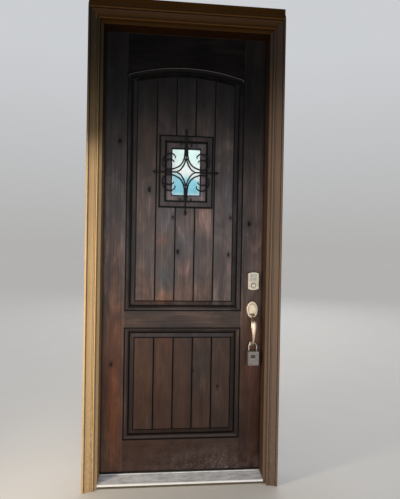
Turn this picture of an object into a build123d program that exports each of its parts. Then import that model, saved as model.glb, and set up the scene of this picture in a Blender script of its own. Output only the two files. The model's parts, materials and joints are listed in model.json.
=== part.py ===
from build123d import *
import math
import os

os.makedirs("parts", exist_ok=True)

# Rustic plank-panel entrance door with its frame, 36 x 96 inch leaf, in-swing.
# Frame of the model: +X to the right seen from outside, +Y into the house,
# +Z up.  Y = 0 is the outside face of the leaf, Z = 0 the underside of the
# sill, X = 0 the middle of the opening.  Millimetres.

# ---------------------------------------------------------------- dimensions
LEAF_HW = 457.2            # half width of the leaf (36 in)
LEAF_T = 44.5              # leaf thickness (1 3/4 in)
LEAF_Z0 = 44.0
LEAF_Z1 = 2476.5

STOP_X = 447.5             # stop (inner) face of the side jambs
RAB_X = 460.2              # rabbet face, 3 mm gap to the leaf
JAMB_X = 479.25            # back of the side jambs
JAMB_Y0 = -87.0            # outside edge of the jambs
STOP_Y = -8.0              # stop shoulder that carries the weatherstrip
JAMB_Y1 = 46.3             # inside edge of the jambs
HEAD_Z = 2466.3            # underside of the head stop
SILL_Y = -7.8              # the wide part of the sill starts behind the stops

BM_IN = 464.0              # inner edge of the brickmould
BM_W = 60.3
BM_Z0 = 0.0                # the moulding legs stand level with the sill
FILL_Z1 = 2600.0           # top of the filler board above the head moulding

STILE_X = 325.6            # joint line of stiles and rails, outer line of sticking
D_STICK = 26.5             # width of the sticking
D_FIELD = 56.0             # from the joint line to the raised field
TONGUE = 18.3
UP_Z0 = 938.0              # upper panel opening
ARC_R = 1078.0
ARC_ZC = 1221.0            # centre of the arch
LO_Z0 = 218.0              # lower panel opening
LO_Z1 = 843.0
PITCH = 108.4              # plank pitch
FIELD_Y = 4.5
GROOVE_HW = 3.2
GROOVE_D = 6.0

SPX = 3.0                  # speakeasy window
SPZ = 1716.5
CAS_W, CAS_H = 294.0, 396.0
OPN_W, OPN_H = 232.0, 332.0
LIN_W, LIN_H = 245.0, 345.0   # the lining; the casing stands 3 mm proud of it as a stop
LIN_T = 9.0
SASH_Y0, SASH_Y1 = 6.0, 40.0
SIGHT_W, SIGHT_H = 156.0, 258.0
GRX, GRZ = 1.0, 1711.0     # centre of the iron grille
GR_Y0, GR_Y1 = -21.0, -13.0

HX = 391.5                 # axis of both lock bores
BOLT_Z = 1085.5
LATCH_Z = 946.0
ROSE_Z = 947.0
BORE_R = 27.0
LOCK_Y = 22.25
BOLT_THROW = 25.4
LATCH_THROW = 12.0

HINGE_X, HINGE_Y = -458.7, 51.0
HINGE_ZS = (374.0, 998.7, 1623.3, 2248.0)
HINGE_H = 101.6
KNUCKLE_R = 6.5
PIN_R = 3.0
PIN_CLR = 0.05

LBX = 394.0                # key box hung on the foot of the handle
LB_Z0, LB_Z1 = 638.0, 720.0


# ---------------------------------------------------------------- helpers
def bx(x0, x1, y0, y1, z0, z1):
    return Pos((x0 + x1) / 2, (y0 + y1) / 2, (z0 + z1) / 2) * Box(x1 - x0, y1 - y0, z1 - z0)


def cx(y, z, r, x0, x1):
    return Pos((x0 + x1) / 2, y, z) * Rot(0, 90, 0) * Cylinder(r, x1 - x0)


def cy(x, z, r, y0, y1):
    return Pos(x, (y0 + y1) / 2, z) * Rot(90, 0, 0) * Cylinder(r, y1 - y0)


def cz(x, y, r, z0, z1):
    return Pos(x, y, (z0 + z1) / 2) * Cylinder(r, z1 - z0)


def cone_x(y, z, r0, r1, x0, x1):
    # radius r0 at x0 and r1 at x1, x1 > x0
    return Pos((x0 + x1) / 2, y, z) * Rot(0, 90, 0) * Cone(r0, r1, x1 - x0)


def solid_face(pts):
    return Face(Wire.make_polygon([Vector(*p) for p in pts], close=True))


def prism_xz(pts, y0, y1):
    return Solid.extrude(solid_face([(x, y0, z) for x, z in pts]), Vector(0, y1 - y0, 0))


def prism_xy(pts, z0, z1):
    return Solid.extrude(solid_face([(x, y, z0) for x, y in pts]), Vector(0, 0, z1 - z0))


def prism_yz(pts, x0, x1):
    return Solid.extrude(solid_face([(x0, y, z) for y, z in pts]), Vector(x1 - x0, 0, 0))


def path_face(start, segs, mp):
    """Closed face from (d, y) segments; ('l', end) or ('a', mid, end)."""
    edges, cur = [], start
    for s in segs:
        if s[0] == "l":
            edges.append(Edge.make_line(mp(*cur), mp(*s[1])))
            cur = s[1]
        else:
            edges.append(Edge.make_three_point_arc(mp(*cur), mp(*s[1]), mp(*s[2])))
            cur = s[2]
    edges.append(Edge.make_line(mp(*cur), mp(*start)))
    return Face(Wire(edges))


def arc_z(x, d):
    r = ARC_R - d
    return ARC_ZC + math.sqrt(r * r - x * x)


def runs(opening, start, segs, d0, d1):
    """The four mitred runs of a moulding round a panel opening: left, right,
    bottom, top.  opening is (half width, bottom z, top z or None for the arch)."""
    hw, zb, zt = opening
    m = 40.0
    arch = zt is None
    ztop = arc_z(0, 0) if arch else zt
    ya, yb = -5.0, LEAF_T + 5.0

    def corner(d):
        return (arc_z(hw - d, d) if arch else zt - d)

    left = Solid.extrude(path_face(start, segs, lambda d, y: Vector(-hw + d, y, zb - m)),
                         Vector(0, 0, ztop - zb + 2 * m))
    reg = prism_xz([(-hw + d0, zb + d0), (-hw + d1, zb + d1),
                    (-hw + d1, corner(d1)), (-hw + d0, corner(d0))], ya, yb)
    left = left & reg
    right = left.mirror(Plane.YZ)
    bot = Solid.extrude(path_face(start, segs, lambda d, y: Vector(-hw - m, y, zb + d)),
                        Vector(2 * hw + 2 * m, 0, 0))
    reg = prism_xz([(-hw + d0, zb + d0), (hw - d0, zb + d0),
                    (hw - d1, zb + d1), (-hw + d1, zb + d1)], ya, yb)
    bot = bot & reg
    if arch:
        prof = path_face(start, segs, lambda d, y: Vector(0, y, ARC_ZC + ARC_R - d))
        ax = Axis((0, 0, ARC_ZC), (0, 1, 0))
        top = Solid.revolve(prof.rotate(ax, -22), 44, ax)
        reg = prism_xz([(-hw + d1, corner(d1)), (-hw + d0, corner(d0)), (-hw + d0, ztop + 60),
                        (hw - d0, ztop + 60), (hw - d0, corner(d0)), (hw - d1, corner(d1))], ya, yb)
        top = top & reg
    else:
        top = Solid.extrude(path_face(start, segs, lambda d, y: Vector(-hw - m, y, zt - d)),
                            Vector(2 * hw + 2 * m, 0, 0))
        reg = prism_xz([(-hw + d0, zt - d0), (hw - d0, zt - d0),
                        (hw - d1, zt - d1), (-hw + d1, zt - d1)], ya, yb)
        top = top & reg
    return left, right, bot, top


def soften(shape, edges, radii):
    """Round the edges with the first radius that the shape takes."""
    for r in radii:
        try:
            return fillet(edges, r)
        except ValueError:
            continue
    print("edges left sharp", shape.bounding_box().center())
    return shape


def clean(s):
    """One plain solid, or a compound of the solids of a list."""
    items = s if isinstance(s, (list, tuple)) else [s]
    out = []
    for it in items:
        out += list(it.solids())
    return out


NODES = {}


def node(name, shape):
    sol = clean(shape)
    NODES[name] = sol
    export_step(Compound(children=sol) if len(sol) > 1 else sol[0], f"parts/{name}.step")


# ---------------------------------------------------------------- fasteners
def flat_screw_x(y, z, x_head, inward, length=22.0):
    """Countersunk wood screw along X with a cross recess; inward is +1 or -1."""
    h = 2.6
    if inward > 0:
        s = cone_x(y, z, 4.1, 2.0, x_head, x_head + h) + cx(y, z, 2.0, x_head + h - 0.01, x_head + length)
        rec = bx(x_head - 1, x_head + 1.2, y - 2.2, y + 2.2, z - 0.45, z + 0.45) + \
            bx(x_head - 1, x_head + 1.2, y - 0.45, y + 0.45, z - 2.2, z + 2.2)
    else:
        s = cone_x(y, z, 2.0, 4.1, x_head - h, x_head) + cx(y, z, 2.0, x_head - length, x_head - h + 0.01)
        rec = bx(x_head - 1.2, x_head + 1, y - 2.2, y + 2.2, z - 0.45, z + 0.45) + \
            bx(x_head - 1.2, x_head + 1, y - 0.45, y + 0.45, z - 2.2, z + 2.2)
    return s - rec


def screw_void_x(y, z, x_head, inward, length=22.0):
    h = 2.6
    if inward > 0:
        return cone_x(y, z, 4.1, 2.0, x_head, x_head + h) + cx(y, z, 2.0, x_head + h - 0.01, x_head + length)
    return cone_x(y, z, 2.0, 4.1, x_head - h, x_head) + cx(y, z, 2.0, x_head - length, x_head - h + 0.01)


HINGE_SCREW_DZ = (-38.0, -14.0, 14.0, 38.0)
HINGE_SCREW_Y = (32.0, 20.0, 32.0, 20.0)
screw_sites_jamb, screw_sites_leaf = [], []
for zc in HINGE_ZS:
    for dz, y in zip(HINGE_SCREW_DZ, HINGE_SCREW_Y):
        screw_sites_jamb.append((y, zc + dz))
        screw_sites_leaf.append((y, zc + dz))
jamb_hinge_voids = [screw_void_x(y, z, -RAB_X, -1, 17.0) for y, z in screw_sites_jamb]
leaf_hinge_voids = [screw_void_x(y, z, -LEAF_HW, 1) for y, z in screw_sites_leaf]
STRIKE_DZ = 22.5
strike_sites = [(LOCK_Y, zc + s * STRIKE_DZ) for zc in (LATCH_Z, BOLT_Z) for s in (-1, 1)]
strike_voids = [screw_void_x(y, z, RAB_X, 1, 17.0) for y, z in strike_sites]
face_voids = [screw_void_x(y, z, LEAF_HW, -1) for y, z in strike_sites]

# ---------------------------------------------------------------- door frame
# side jamb section, hinge side; the strike side is its mirror image
jp = [(-STOP_X, JAMB_Y0 + 2), (-STOP_X, STOP_Y), (-RAB_X, STOP_Y), (-RAB_X, JAMB_Y1),
      (-JAMB_X, JAMB_Y1), (-JAMB_X, JAMB_Y0), (-STOP_X - 2, JAMB_Y0)]
side_reg = prism_xz([(-JAMB_X - 1, -1), (-STOP_X + 1, -1), (-STOP_X + 1, HEAD_Z - 1),
                     (-JAMB_X - 1, HEAD_Z + JAMB_X - STOP_X + 1)], -130, 60)
jamb_l = prism_xy(jp, 0, HEAD_Z + 40) & side_reg
jamb_r = jamb_l.mirror(Plane.YZ)
leaf_plate_y0 = 12.0
for zc in HINGE_ZS:
    jamb_l = jamb_l - bx(-RAB_X - 3.0, -RAB_X + 1, leaf_plate_y0, JAMB_Y1 + 1, zc - HINGE_H / 2, zc + HINGE_H / 2)
jamb_l = jamb_l - jamb_hinge_voids
for zc, hz, hy in ((LATCH_Z, 13.0, 9.0), (BOLT_Z, 12.0, 8.5)):
    jamb_r = jamb_r - bx(RAB_X - 1, RAB_X + 1.6, LOCK_Y - 14, LOCK_Y + 14, zc - 28.5, zc + 28.5)
    jamb_r = jamb_r - bx(RAB_X, JAMB_X + 1, LOCK_Y - hy, LOCK_Y + hy, zc - hz, zc + hz)
jamb_r = jamb_r - strike_voids
node("jamb_hinge_side", jamb_l)
node("jamb_strike_side", jamb_r)

hp = [(JAMB_Y0 + 2, HEAD_Z), (STOP_Y, HEAD_Z), (STOP_Y, HEAD_Z + 12.7), (JAMB_Y1, HEAD_Z + 12.7),
      (JAMB_Y1, HEAD_Z + 31.75), (JAMB_Y0, HEAD_Z + 31.75), (JAMB_Y0, HEAD_Z + 2)]
head_reg = prism_xz([(-STOP_X + 1, HEAD_Z - 1), (STOP_X - 1, HEAD_Z - 1),
                     (JAMB_X + 1, HEAD_Z + JAMB_X - STOP_X + 1),
                     (-JAMB_X - 1, HEAD_Z + JAMB_X - STOP_X + 1)], -130, 60)
node("jamb_head", prism_yz(hp, -JAMB_X - 2, JAMB_X + 2) & head_reg)

# brickmould: bead at the inner edge, shallow cove, bead at the outer edge
bm_start = (0.0, JAMB_Y0)
bm_segs = [("l", (0.0, -102.5)), ("a", (1.4, -106.0), (5.0, -107.6)), ("a", (8.0, -106.6), (8.8, -104.6)),
           ("a", (26.0, -106.6), (45.5, -113.4)), ("l", (47.5, -113.4)),
           ("a", (49.3, -117.4), (53.5, -118.75)), ("a", (58.5, -117.0), (BM_W, -112.5)),
           ("l", (BM_W, JAMB_Y0))]
BM_HEAD = HEAD_Z + (BM_IN - STOP_X)
bm_l = Solid.extrude(path_face(bm_start, bm_segs, lambda u, y: Vector(-BM_IN - u, y, BM_Z0)),
                     Vector(0, 0, BM_HEAD + BM_W + 20 - BM_Z0))
bm_l = bm_l & prism_xz([(-BM_IN - BM_W - 1, BM_Z0 - 1), (-BM_IN + 1, BM_Z0 - 1), (-BM_IN + 1, BM_HEAD - 1),
                        (-BM_IN - BM_W - 1, BM_HEAD + BM_W + 1)], -130, 60)
node("brickmould_hinge_side", bm_l)
node("brickmould_strike_side", bm_l.mirror(Plane.YZ))
bm_h = Solid.extrude(path_face(bm_start, bm_segs, lambda u, y: Vector(-BM_IN - 60, y, BM_HEAD + u)),
                     Vector(2 * BM_IN + 120, 0, 0))
bm_h = bm_h & prism_xz([(-BM_IN + 1, BM_HEAD - 1), (BM_IN - 1, BM_HEAD - 1),
                        (BM_IN + BM_W + 1, BM_HEAD + BM_W + 1),
                        (-BM_IN - BM_W - 1, BM_HEAD + BM_W + 1)], -130, 60)
node("brickmould_head", bm_h)
FZ = BM_HEAD + BM_W
node("head_filler_board", prism_yz([(JAMB_Y0, FZ), (-107.0, FZ), (-109.0, FZ + 2), (-109.0, FZ + 15),
                                    (-106.0, FZ + 19), (-99.0, FZ + 19), (-99.0, FILL_Z1),
                                    (JAMB_Y0, FILL_Z1)], -BM_IN - BM_W, BM_IN + BM_W))

# sill and threshold
front = prism_yz([(-84.0, 0), (SILL_Y, 0), (SILL_Y, 27.5), (-84.0, 22.0)], -STOP_X + 0.2, STOP_X - 0.2)
back = prism_yz([(SILL_Y, 0), (46.3, 0), (46.3, 27.5), (SILL_Y, 27.5)], -RAB_X + 0.2, RAB_X - 0.2)
node("sill_substrate", front + back)
tread = prism_yz([(-84.0, 22.0), (SILL_Y, 27.5), (SILL_Y, 36.0), (-11.0, 36.0), (-12.5, 33.4), (-92.0, 28.6),
                  (-96.0, 27.2), (-98.0, 24.6), (-98.0, 20.0), (-96.0, 18.0), (-94.0, 18.0), (-94.0, 22.0)],
                 -STOP_X + 0.2, STOP_X - 0.2)
for k in range(5):
    y = -30.0 - 11.0 * k
    z = 33.4 - (abs(y) - 12.5) * 0.0604
    tread = tread - prism_yz([(y - 1.2, z + 0.8), (y + 1.2, z + 0.8), (y + 0.6, z - 0.8), (y - 0.6, z - 0.8)],
                             -STOP_X, STOP_X)
node("threshold_tread", tread)
node("threshold_cap", prism_yz([(SILL_Y, 27.5), (36.0, 27.5), (36.0, 33.0), (30.0, 38.0), (-5.5, 38.0),
                                (SILL_Y, 36.5)], -RAB_X + 0.2, RAB_X - 0.2))

# foam weatherstrips, pressed in the corner of the stops
def foam(run, mp):
    return Solid.extrude(path_face((0.3, -7.8), [("l", (0.3, -1.6)), ("a", (5.6, -0.35), (11.0, -1.6)),
                                                 ("l", (11.0, -7.8))], mp), run)


ws_l = foam(Vector(0, 0, 2425.5), lambda u, y: Vector(-RAB_X + u + 0.4, y, 38.8))
ws_r = foam(Vector(0, 0, 2425.5), lambda u, y: Vector(RAB_X - u - 0.4, y, 38.8))
ws_t = foam(Vector(2 * RAB_X - 1.0, 0, 0), lambda u, y: Vector(-RAB_X + 0.5, y, HEAD_Z + 12.3 - u))
node("weatherstrips", [ws_l, ws_r, ws_t])

# strike plates, let into the strike jamb
def strike(zc, hz, hy):
    p = bx(RAB_X, RAB_X + 1.6, LOCK_Y - 14, LOCK_Y + 14, zc - 28.5, zc + 28.5)
    p = fillet(p.edges().filter_by(Axis.X), 4.0)
    p = p - bx(RAB_X - 1, RAB_X + 3, LOCK_Y - hy, LOCK_Y + hy, zc - hz, zc + hz)
    return p - [screw_void_x(y, z, RAB_X, 1, 17.0) for y, z in strike_sites if abs(z - zc) < 30]


node("latch_strike_plate", strike(LATCH_Z, 12.0, 8.0))
node("deadbolt_strike_plate", strike(BOLT_Z, 11.0, 7.5))


# butt hinges, five knuckles each
def hinge_leaf(zc, side):
    seg = HINGE_H / 5
    if side > 0:                      # door leaf, knuckles 2 and 4
        x0, x1, own = -LEAF_HW, -LEAF_HW + 3.0, (1, 3)
    else:
        x0, x1, own = -RAB_X - 3.0, -RAB_X, (0, 2, 4)
    s = bx(x0, x1, leaf_plate_y0, 43.6, zc - HINGE_H / 2, zc + HINGE_H / 2)
    for k in own:
        a = zc - HINGE_H / 2 + k * seg + 0.15
        b = a + seg - 0.3
        xa, xb = (x0, x1) if side > 0 else (x0, x1)
        s = s + bx(xa, xb, 43.5, HINGE_Y - 1.5, a, b) + cz(HINGE_X, HINGE_Y, KNUCKLE_R, a, b)
    s = s - cz(HINGE_X, HINGE_Y, PIN_R + PIN_CLR if side > 0 else PIN_R, zc - HINGE_H, zc + HINGE_H)
    void = leaf_hinge_voids if side > 0 else jamb_hinge_voids
    return s - [v for v, (y, z) in zip(void, screw_sites_leaf) if abs(z - zc) < 60]


node("hinge_jamb_leaves", [hinge_leaf(z, -1) for z in HINGE_ZS])
node("hinge_door_leaves", [hinge_leaf(z, 1) for z in HINGE_ZS])


def hinge_pin(zc):
    a, b = zc - HINGE_H / 2 - 1.5, zc + HINGE_H / 2
    p = cz(HINGE_X, HINGE_Y, PIN_R, a, b + 0.2)
    head = Solid.revolve(path_face((0, b + 0.2), [("l", (4.7, b + 0.2)), ("l", (4.7, b + 1.8)),
                                                  ("a", (4.0, b + 3.7), (2.4, b + 4.6)), ("l", (0, b + 4.6))],
                                   lambda r, z: Vector(HINGE_X + r, HINGE_Y, z)), 360,
                         Axis((HINGE_X, HINGE_Y, 0), (0, 0, 1)))
    return p + head


node("hinge_pins", [hinge_pin(z) for z in HINGE_ZS])
node("frame_screws", [flat_screw_x(y, z, -RAB_X, -1, 17.0) for y, z in screw_sites_jamb] +
     [flat_screw_x(y, z, RAB_X, 1, 17.0) for y, z in strike_sites])
node("leaf_screws", [flat_screw_x(y, z, -LEAF_HW, 1) for y, z in screw_sites_leaf] +
     [flat_screw_x(y, z, LEAF_HW, -1) for y, z in strike_sites])

# ---------------------------------------------------------------- leaf
T = LEAF_T
st_start = (0.0, 0.0)
st_segs = [("l", (0.0, 4.0)), ("l", (2.4, 4.0)), ("l", (3.2, 1.4)), ("a", (15.2, 3.3), (24.8, 10.6)), ("l", (D_STICK, 10.6)),
           ("l", (D_STICK, 12.2)), ("l", (18.0, 12.2)), ("l", (18.0, T - 12.2)), ("l", (D_STICK, T - 12.2)),
           ("l", (D_STICK, T - 10.6)), ("l", (24.8, T - 10.6)), ("a", (15.2, T - 3.3), (3.2, T - 1.4)),
           ("l", (2.4, T - 4.0)), ("l", (0.0, T - 4.0)), ("l", (0.0, T))]
UPPER = (STILE_X, UP_Z0, None)
LOWER = (STILE_X, LO_Z0, LO_Z1)
uL, uR, uB, uT = runs(UPPER, st_start, st_segs, 0.0, D_STICK)
lL, lR, lB, lT = runs(LOWER, st_start, st_segs, 0.0, D_STICK)

stile_l = bx(-LEAF_HW, -STILE_X, 0, T, LEAF_Z0, LEAF_Z1) + uL + lL
for zc in HINGE_ZS:
    stile_l = stile_l - bx(-LEAF_HW - 1, -LEAF_HW + 3.0, leaf_plate_y0, T + 1, zc - HINGE_H / 2, zc + HINGE_H / 2)
stile_l = stile_l - leaf_hinge_voids
node("stile_hinge", stile_l)

stile_r = bx(STILE_X, LEAF_HW, 0, T, LEAF_Z0, LEAF_Z1) + uR + lR
for zc in (BOLT_Z, LATCH_Z):
    stile_r = stile_r - cy(HX, zc, BORE_R, -1, T + 1)
    stile_r = stile_r - cx(LOCK_Y, zc, 12.7, HX, LEAF_HW + 1)
    stile_r = stile_r - bx(LEAF_HW - 2.0, LEAF_HW + 1, LOCK_Y - 12.7, LOCK_Y + 12.7, zc - 28.5, zc + 28.5)
FOOT_Z = 753.0
stile_r = stile_r - cy(HX, FOOT_Z, 3.0, -1, T + 1)
stile_r = stile_r - face_voids
node("stile_lock", stile_r)

# rails
top_block = prism_xz([(-STILE_X, arc_z(STILE_X, 0) - 1), (STILE_X, arc_z(STILE_X, 0) - 1),
                      (STILE_X, LEAF_Z1), (-STILE_X, LEAF_Z1)], 0, T)
top_block = top_block - cy(0, ARC_ZC, ARC_R, -5, T + 5)
node("rail_top", top_block + uT)
node("rail_lock", bx(-STILE_X, STILE_X, 0, T, LO_Z1, UP_Z0) + uB + lT)
node("rail_bottom", bx(-STILE_X, STILE_X, 0, T, LEAF_Z0, LO_Z0) + lB)

# panels: five boards glued up, V-grooved along the joints, bevelled all round
pn_start = (TONGUE, 12.4)
pn_segs = [("l", (D_STICK + 0.4, 12.4)), ("l", (D_STICK + 0.8, 16.0)), ("l", (D_STICK + 3.2, 16.0)),
           ("l", (D_STICK + 4.2, 11.4)), ("l", (D_FIELD - 2.8, 6.6)), ("l", (D_FIELD - 2.2, 9.0)), ("l", (D_FIELD, 9.0)),
           ("l", (D_FIELD, T - 9.0)), ("l", (D_FIELD - 2.2, T - 9.0)), ("l", (D_FIELD - 2.8, T - 6.6)),
           ("l", (D_STICK + 4.2, T - 11.4)), ("l", (D_STICK + 3.2, T - 16.0)), ("l", (D_STICK + 0.8, T - 16.0)),
           ("l", (D_STICK + 0.4, T - 12.4)), ("l", (TONGUE, T - 12.4))]
FHW = STILE_X - D_FIELD


def grooves(block, z0, z1):
    for k in (-1.5, -0.5, 0.5, 1.5):
        x = k * PITCH
        for y0, s in ((FIELD_Y, 1), (T - FIELD_Y, -1)):
            block = block - prism_xy([(x - GROOVE_HW - 0.4, y0 - s * 0.5), (x + GROOVE_HW + 0.4, y0 - s * 0.5),
                                      (x + 1.0, y0 + s * GROOVE_D), (x - 1.0, y0 + s * GROOVE_D)], z0, z1)
    return block


lo_field = bx(-FHW, FHW, FIELD_Y, T - FIELD_Y, LO_Z0 + D_FIELD, LO_Z1 - D_FIELD)
lo_field = grooves(lo_field, LO_Z0, LO_Z1)
for s in runs(LOWER, pn_start, pn_segs, TONGUE, D_FIELD):
    lo_field = lo_field + s
node("panel_lower", lo_field)

cz1 = arc_z(FHW, D_FIELD)
up_field = prism_xz([(-FHW, UP_Z0 + D_FIELD), (FHW, UP_Z0 + D_FIELD), (FHW, cz1 + 70), (-FHW, cz1 + 70)],
                    FIELD_Y, T - FIELD_Y)
up_field = grooves(up_field, UP_Z0, cz1 + 100)
up_field = up_field & cy(0, ARC_ZC, ARC_R - D_FIELD, -5, T + 5)
for s in runs(UPPER, pn_start, pn_segs, TONGUE, D_FIELD):
    up_field = up_field + s
LW, LH = LIN_W + 2 * LIN_T, LIN_H + 2 * LIN_T
up_field = up_field - bx(SPX - LW / 2, SPX + LW / 2, -5, T + 5, SPZ - LH / 2, SPZ + LH / 2)
node("panel_upper", up_field)

# sweep under the leaf: carrier with two fins and a bulb
sweep = prism_yz([(6, LEAF_Z0), (6, 40.6), (7.2, 38.5), (8.6, 38.5), (9.2, 41.4), (15, 41.4), (16.5, 38.5),
                  (19.5, 38.5), (21, 41.4), (30, 41.4), (31.4, 38.5), (32.8, 38.5), (34, 40.6), (34, LEAF_Z0)],
                 -LEAF_HW + 2, LEAF_HW - 2)
node("door_sweep", sweep)


# ---------------------------------------------------------------- speakeasy
def ring(w, h, wi, hi, y0, y1, xc=SPX, zc=SPZ):
    return bx(xc - w / 2, xc + w / 2, y0, y1, zc - h / 2, zc + h / 2) - \
        bx(xc - wi / 2, xc + wi / 2, y0 - 1, y1 + 1, zc - hi / 2, zc + hi / 2)


cas = ring(CAS_W, CAS_H, OPN_W, OPN_H, -5.5, FIELD_Y)
cas = chamfer(cas.faces().sort_by(Axis.Y)[0].edges(), 2.2)
node("speakeasy_casing_outside", cas)

spf = ring(LW, LH, LIN_W, LIN_H, FIELD_Y, T - FIELD_Y)
rin = ring(CAS_W, CAS_H, LW - 4, LH - 4, T - FIELD_Y, T + 3.5)
rin = chamfer(rin.faces().sort_by(Axis.Y)[-1].edges(), 2.2)
node("speakeasy_frame", spf + rin)

SW, SH = LIN_W - 4, LIN_H - 4
# the closing edge leans 2 mm so that it clears the frame as the sash swings
sash = prism_xy([(SPX - SW / 2, SASH_Y0), (SPX + SW / 2 - 2, SASH_Y0), (SPX + SW / 2, SASH_Y1),
                 (SPX - SW / 2, SASH_Y1)], SPZ - SH / 2, SPZ + SH / 2)
sash = sash - bx(SPX - SIGHT_W / 2, SPX + SIGHT_W / 2, 0, 50, SPZ - SIGHT_H / 2, SPZ + SIGHT_H / 2)
sash = sash - bx(SPX - SIGHT_W / 2 - 7, SPX + SIGHT_W / 2 + 7, 24, 50, SPZ - SIGHT_H / 2 - 7, SPZ + SIGHT_H / 2 + 7)
sash = chamfer(sash.faces().sort_by(Axis.Y)[0].edges(), 4.0)
node("speakeasy_sash", sash)
node("speakeasy_glass", bx(SPX - SIGHT_W / 2 - 6.2, SPX + SIGHT_W / 2 + 6.2, 24, 28,
                           SPZ - SIGHT_H / 2 - 6.2, SPZ + SIGHT_H / 2 + 6.2))
bead = ring(SIGHT_W + 13.4, SIGHT_H + 13.4, SIGHT_W, SIGHT_H, 28.1, 38.0)
bead = chamfer([e for e in bead.faces().sort_by(Axis.Y)[-1].edges()
                if abs(e.center().X - SPX) < SIGHT_W / 2 + 1 and abs(e.center().Z - SPZ) < SIGHT_H / 2 + 1], 4.0)
node("speakeasy_glazing_bead", bead)

SAX, SAY = SPX - 121.5, 44.5
sash_hinge_z = (SPZ - 110, SPZ + 110)


def sash_hinge(zc, fixed):
    h = 50.0
    seg = h / 3
    if fixed:
        s = bx(SAX - 7.7, SAX - 1.5, 40.0, 41.4, zc - h / 2, zc + h / 2)
        own = (0, 2)
    else:
        s = bx(SAX + 1.5, SAX + 23.0, 40.0, 41.4, zc - h / 2, zc + h / 2)
        own = (1,)
    for k in own:
        a = zc - h / 2 + k * seg + (0.15 if k else 0)
        b = zc - h / 2 + (k + 1) * seg - (0.15 if k < 2 else 0)
        if fixed:
            s = s + bx(SAX - 3.0, SAX - 1.5, 41.3, SAY, a, b)
        else:
            s = s + bx(SAX + 1.5, SAX + 3.0, 41.3, SAY, a, b)
        s = s + cz(SAX, SAY, 3.0, a, b)
    if fixed:
        s = s - cz(SAX, SAY, 1.6, zc - h, zc + h) + cz(SAX, SAY, 1.6, zc - h / 2 - 2.5, zc + h / 2 + 2.5)
        s = s + (Pos(SAX, SAY, zc + h / 2 + 2.2) * Sphere(2.4)) + (Pos(SAX, SAY, zc - h / 2 - 2.2) * Sphere(2.4))
    else:
        s = s - cz(SAX, SAY, 1.65, zc - h, zc + h)
    return s


node("sash_hinge_fixed_leaves", [sash_hinge(z, True) for z in sash_hinge_z])
node("sash_hinge_moving_leaves", [sash_hinge(z, False) for z in sash_hinge_z])
kn = Solid.revolve(path_face((0, 40.0), [("l", (8.0, 40.0)), ("l", (8.0, 41.6)), ("a", (5.0, 43.2), (4.2, 47.0)),
                                         ("a", (6.0, 50.6), (10.5, 53.0)), ("l", (11.2, 56.0)),
                                         ("a", (10.0, 59.0), (7.0, 60.6)), ("l", (0, 61.6))],
                             lambda r, y: Vector(SPX + 98 + r, y, SPZ)), 360, Axis((SPX + 98, 0, SPZ), (0, 1, 0)))
node("sash_knob", kn)


# wrought iron scroll grille
def smooth(pts, n=10):
    """Points along a centripetal-like spline through pts (x, z)."""
    out = []
    P = [pts[0]] + list(pts) + [pts[-1]]
    for i in range(1, len(P) - 2):
        p0, p1, p2, p3 = P[i - 1], P[i], P[i + 1], P[i + 2]
        for k in range(n):
            t = k / n
            out.append(tuple(0.5 * ((2 * p1[j]) + (-p0[j] + p2[j]) * t +
                                    (2 * p0[j] - 5 * p1[j] + 4 * p2[j] - p3[j]) * t * t +
                                    (-p0[j] + 3 * p1[j] - 3 * p2[j] + p3[j]) * t ** 3) for j in (0, 1)))
    out.append(pts[-1])
    return out


def bar(pts, w0, w1, y0, y1):
    """A flat bar along a smooth line, its width going from w0 to w1."""
    q = smooth(pts, 4)
    n = len(q)
    L, R = [], []
    for i, (x, z) in enumerate(q):
        a = q[max(i - 1, 0)]
        b = q[min(i + 1, n - 1)]
        tx, tz = b[0] - a[0], b[1] - a[1]
        m = math.hypot(tx, tz)
        nx, nz = -tz / m, tx / m
        w = (w0 + (w1 - w0) * i / (n - 1)) / 2
        L.append(Vector(GRX + x + nx * w, y0, GRZ + z + nz * w))
        R.append(Vector(GRX + x - nx * w, y0, GRZ + z - nz * w))
    e = [Edge.make_spline(L), Edge.make_line(L[-1], R[-1]), Edge.make_spline(list(reversed(R))),
         Edge.make_line(R[0], L[0])]
    return Solid.extrude(Face(Wire(e)), Vector(0, y1 - y0, 0))


SCROLL = [(-5.0, 158.0), (-11.0, 138.0), (-14.0, 112.0), (-14.5, 88.0), (-20.0, 60.0), (-36.0, 36.0),
          (-60.0, 21.0), (-86.0, 14.5), (-108.0, 17.0), (-124.0, 31.0), (-130.0, 53.0), (-126.0, 76.0),
          (-112.0, 94.0), (-92.0, 102.0), (-72.0, 99.0), (-60.0, 86.0), (-61.0, 75.0)]
INNER = [(-4.5, 76.0), (-8.0, 54.0), (-18.0, 31.0), (-32.0, 12.0), (-50.0, 2.0)]
HOOK = [(-127.0, 62.0), (-110.0, 66.0), (-88.0, 70.0), (-72.0, 64.0), (-65.0, 53.0)]
CURL = [(-3.0, 158.0), (-14.0, 163.0), (-26.0, 160.0), (-31.0, 151.0), (-26.0, 145.0)]
bars = []
for line, w0, w1 in ((SCROLL, 7.0, 6.0), (INNER, 7.0, 6.0), (HOOK, 6.0, 4.5), (CURL, 6.5, 5.0)):
    for sx in (1, -1):
        for sz in (1, -1):
            bars.append(bar([(sx * x, sz * z) for x, z in line], w0, w1, GR_Y0, GR_Y1))


def spear(dx, dz, base, tip):
    """Flattened pointed tip from base to tip along (dx, dz)."""
    px, pz = dz, dx
    pts = [(base, 3.0), (base + 6, 3.0), (base + 12, 6.0), ((base + tip) / 2 + 4, 5.4), (tip, 0.6)]
    poly = [(dx * a + px * w, dz * a + pz * w) for a, w in pts] + \
        [(dx * a - px * w, dz * a - pz * w) for a, w in reversed(pts)]
    return prism_xz([(GRX + x, GRZ + z) for x, z in poly], GR_Y0 + 1, GR_Y1 - 1)


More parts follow.
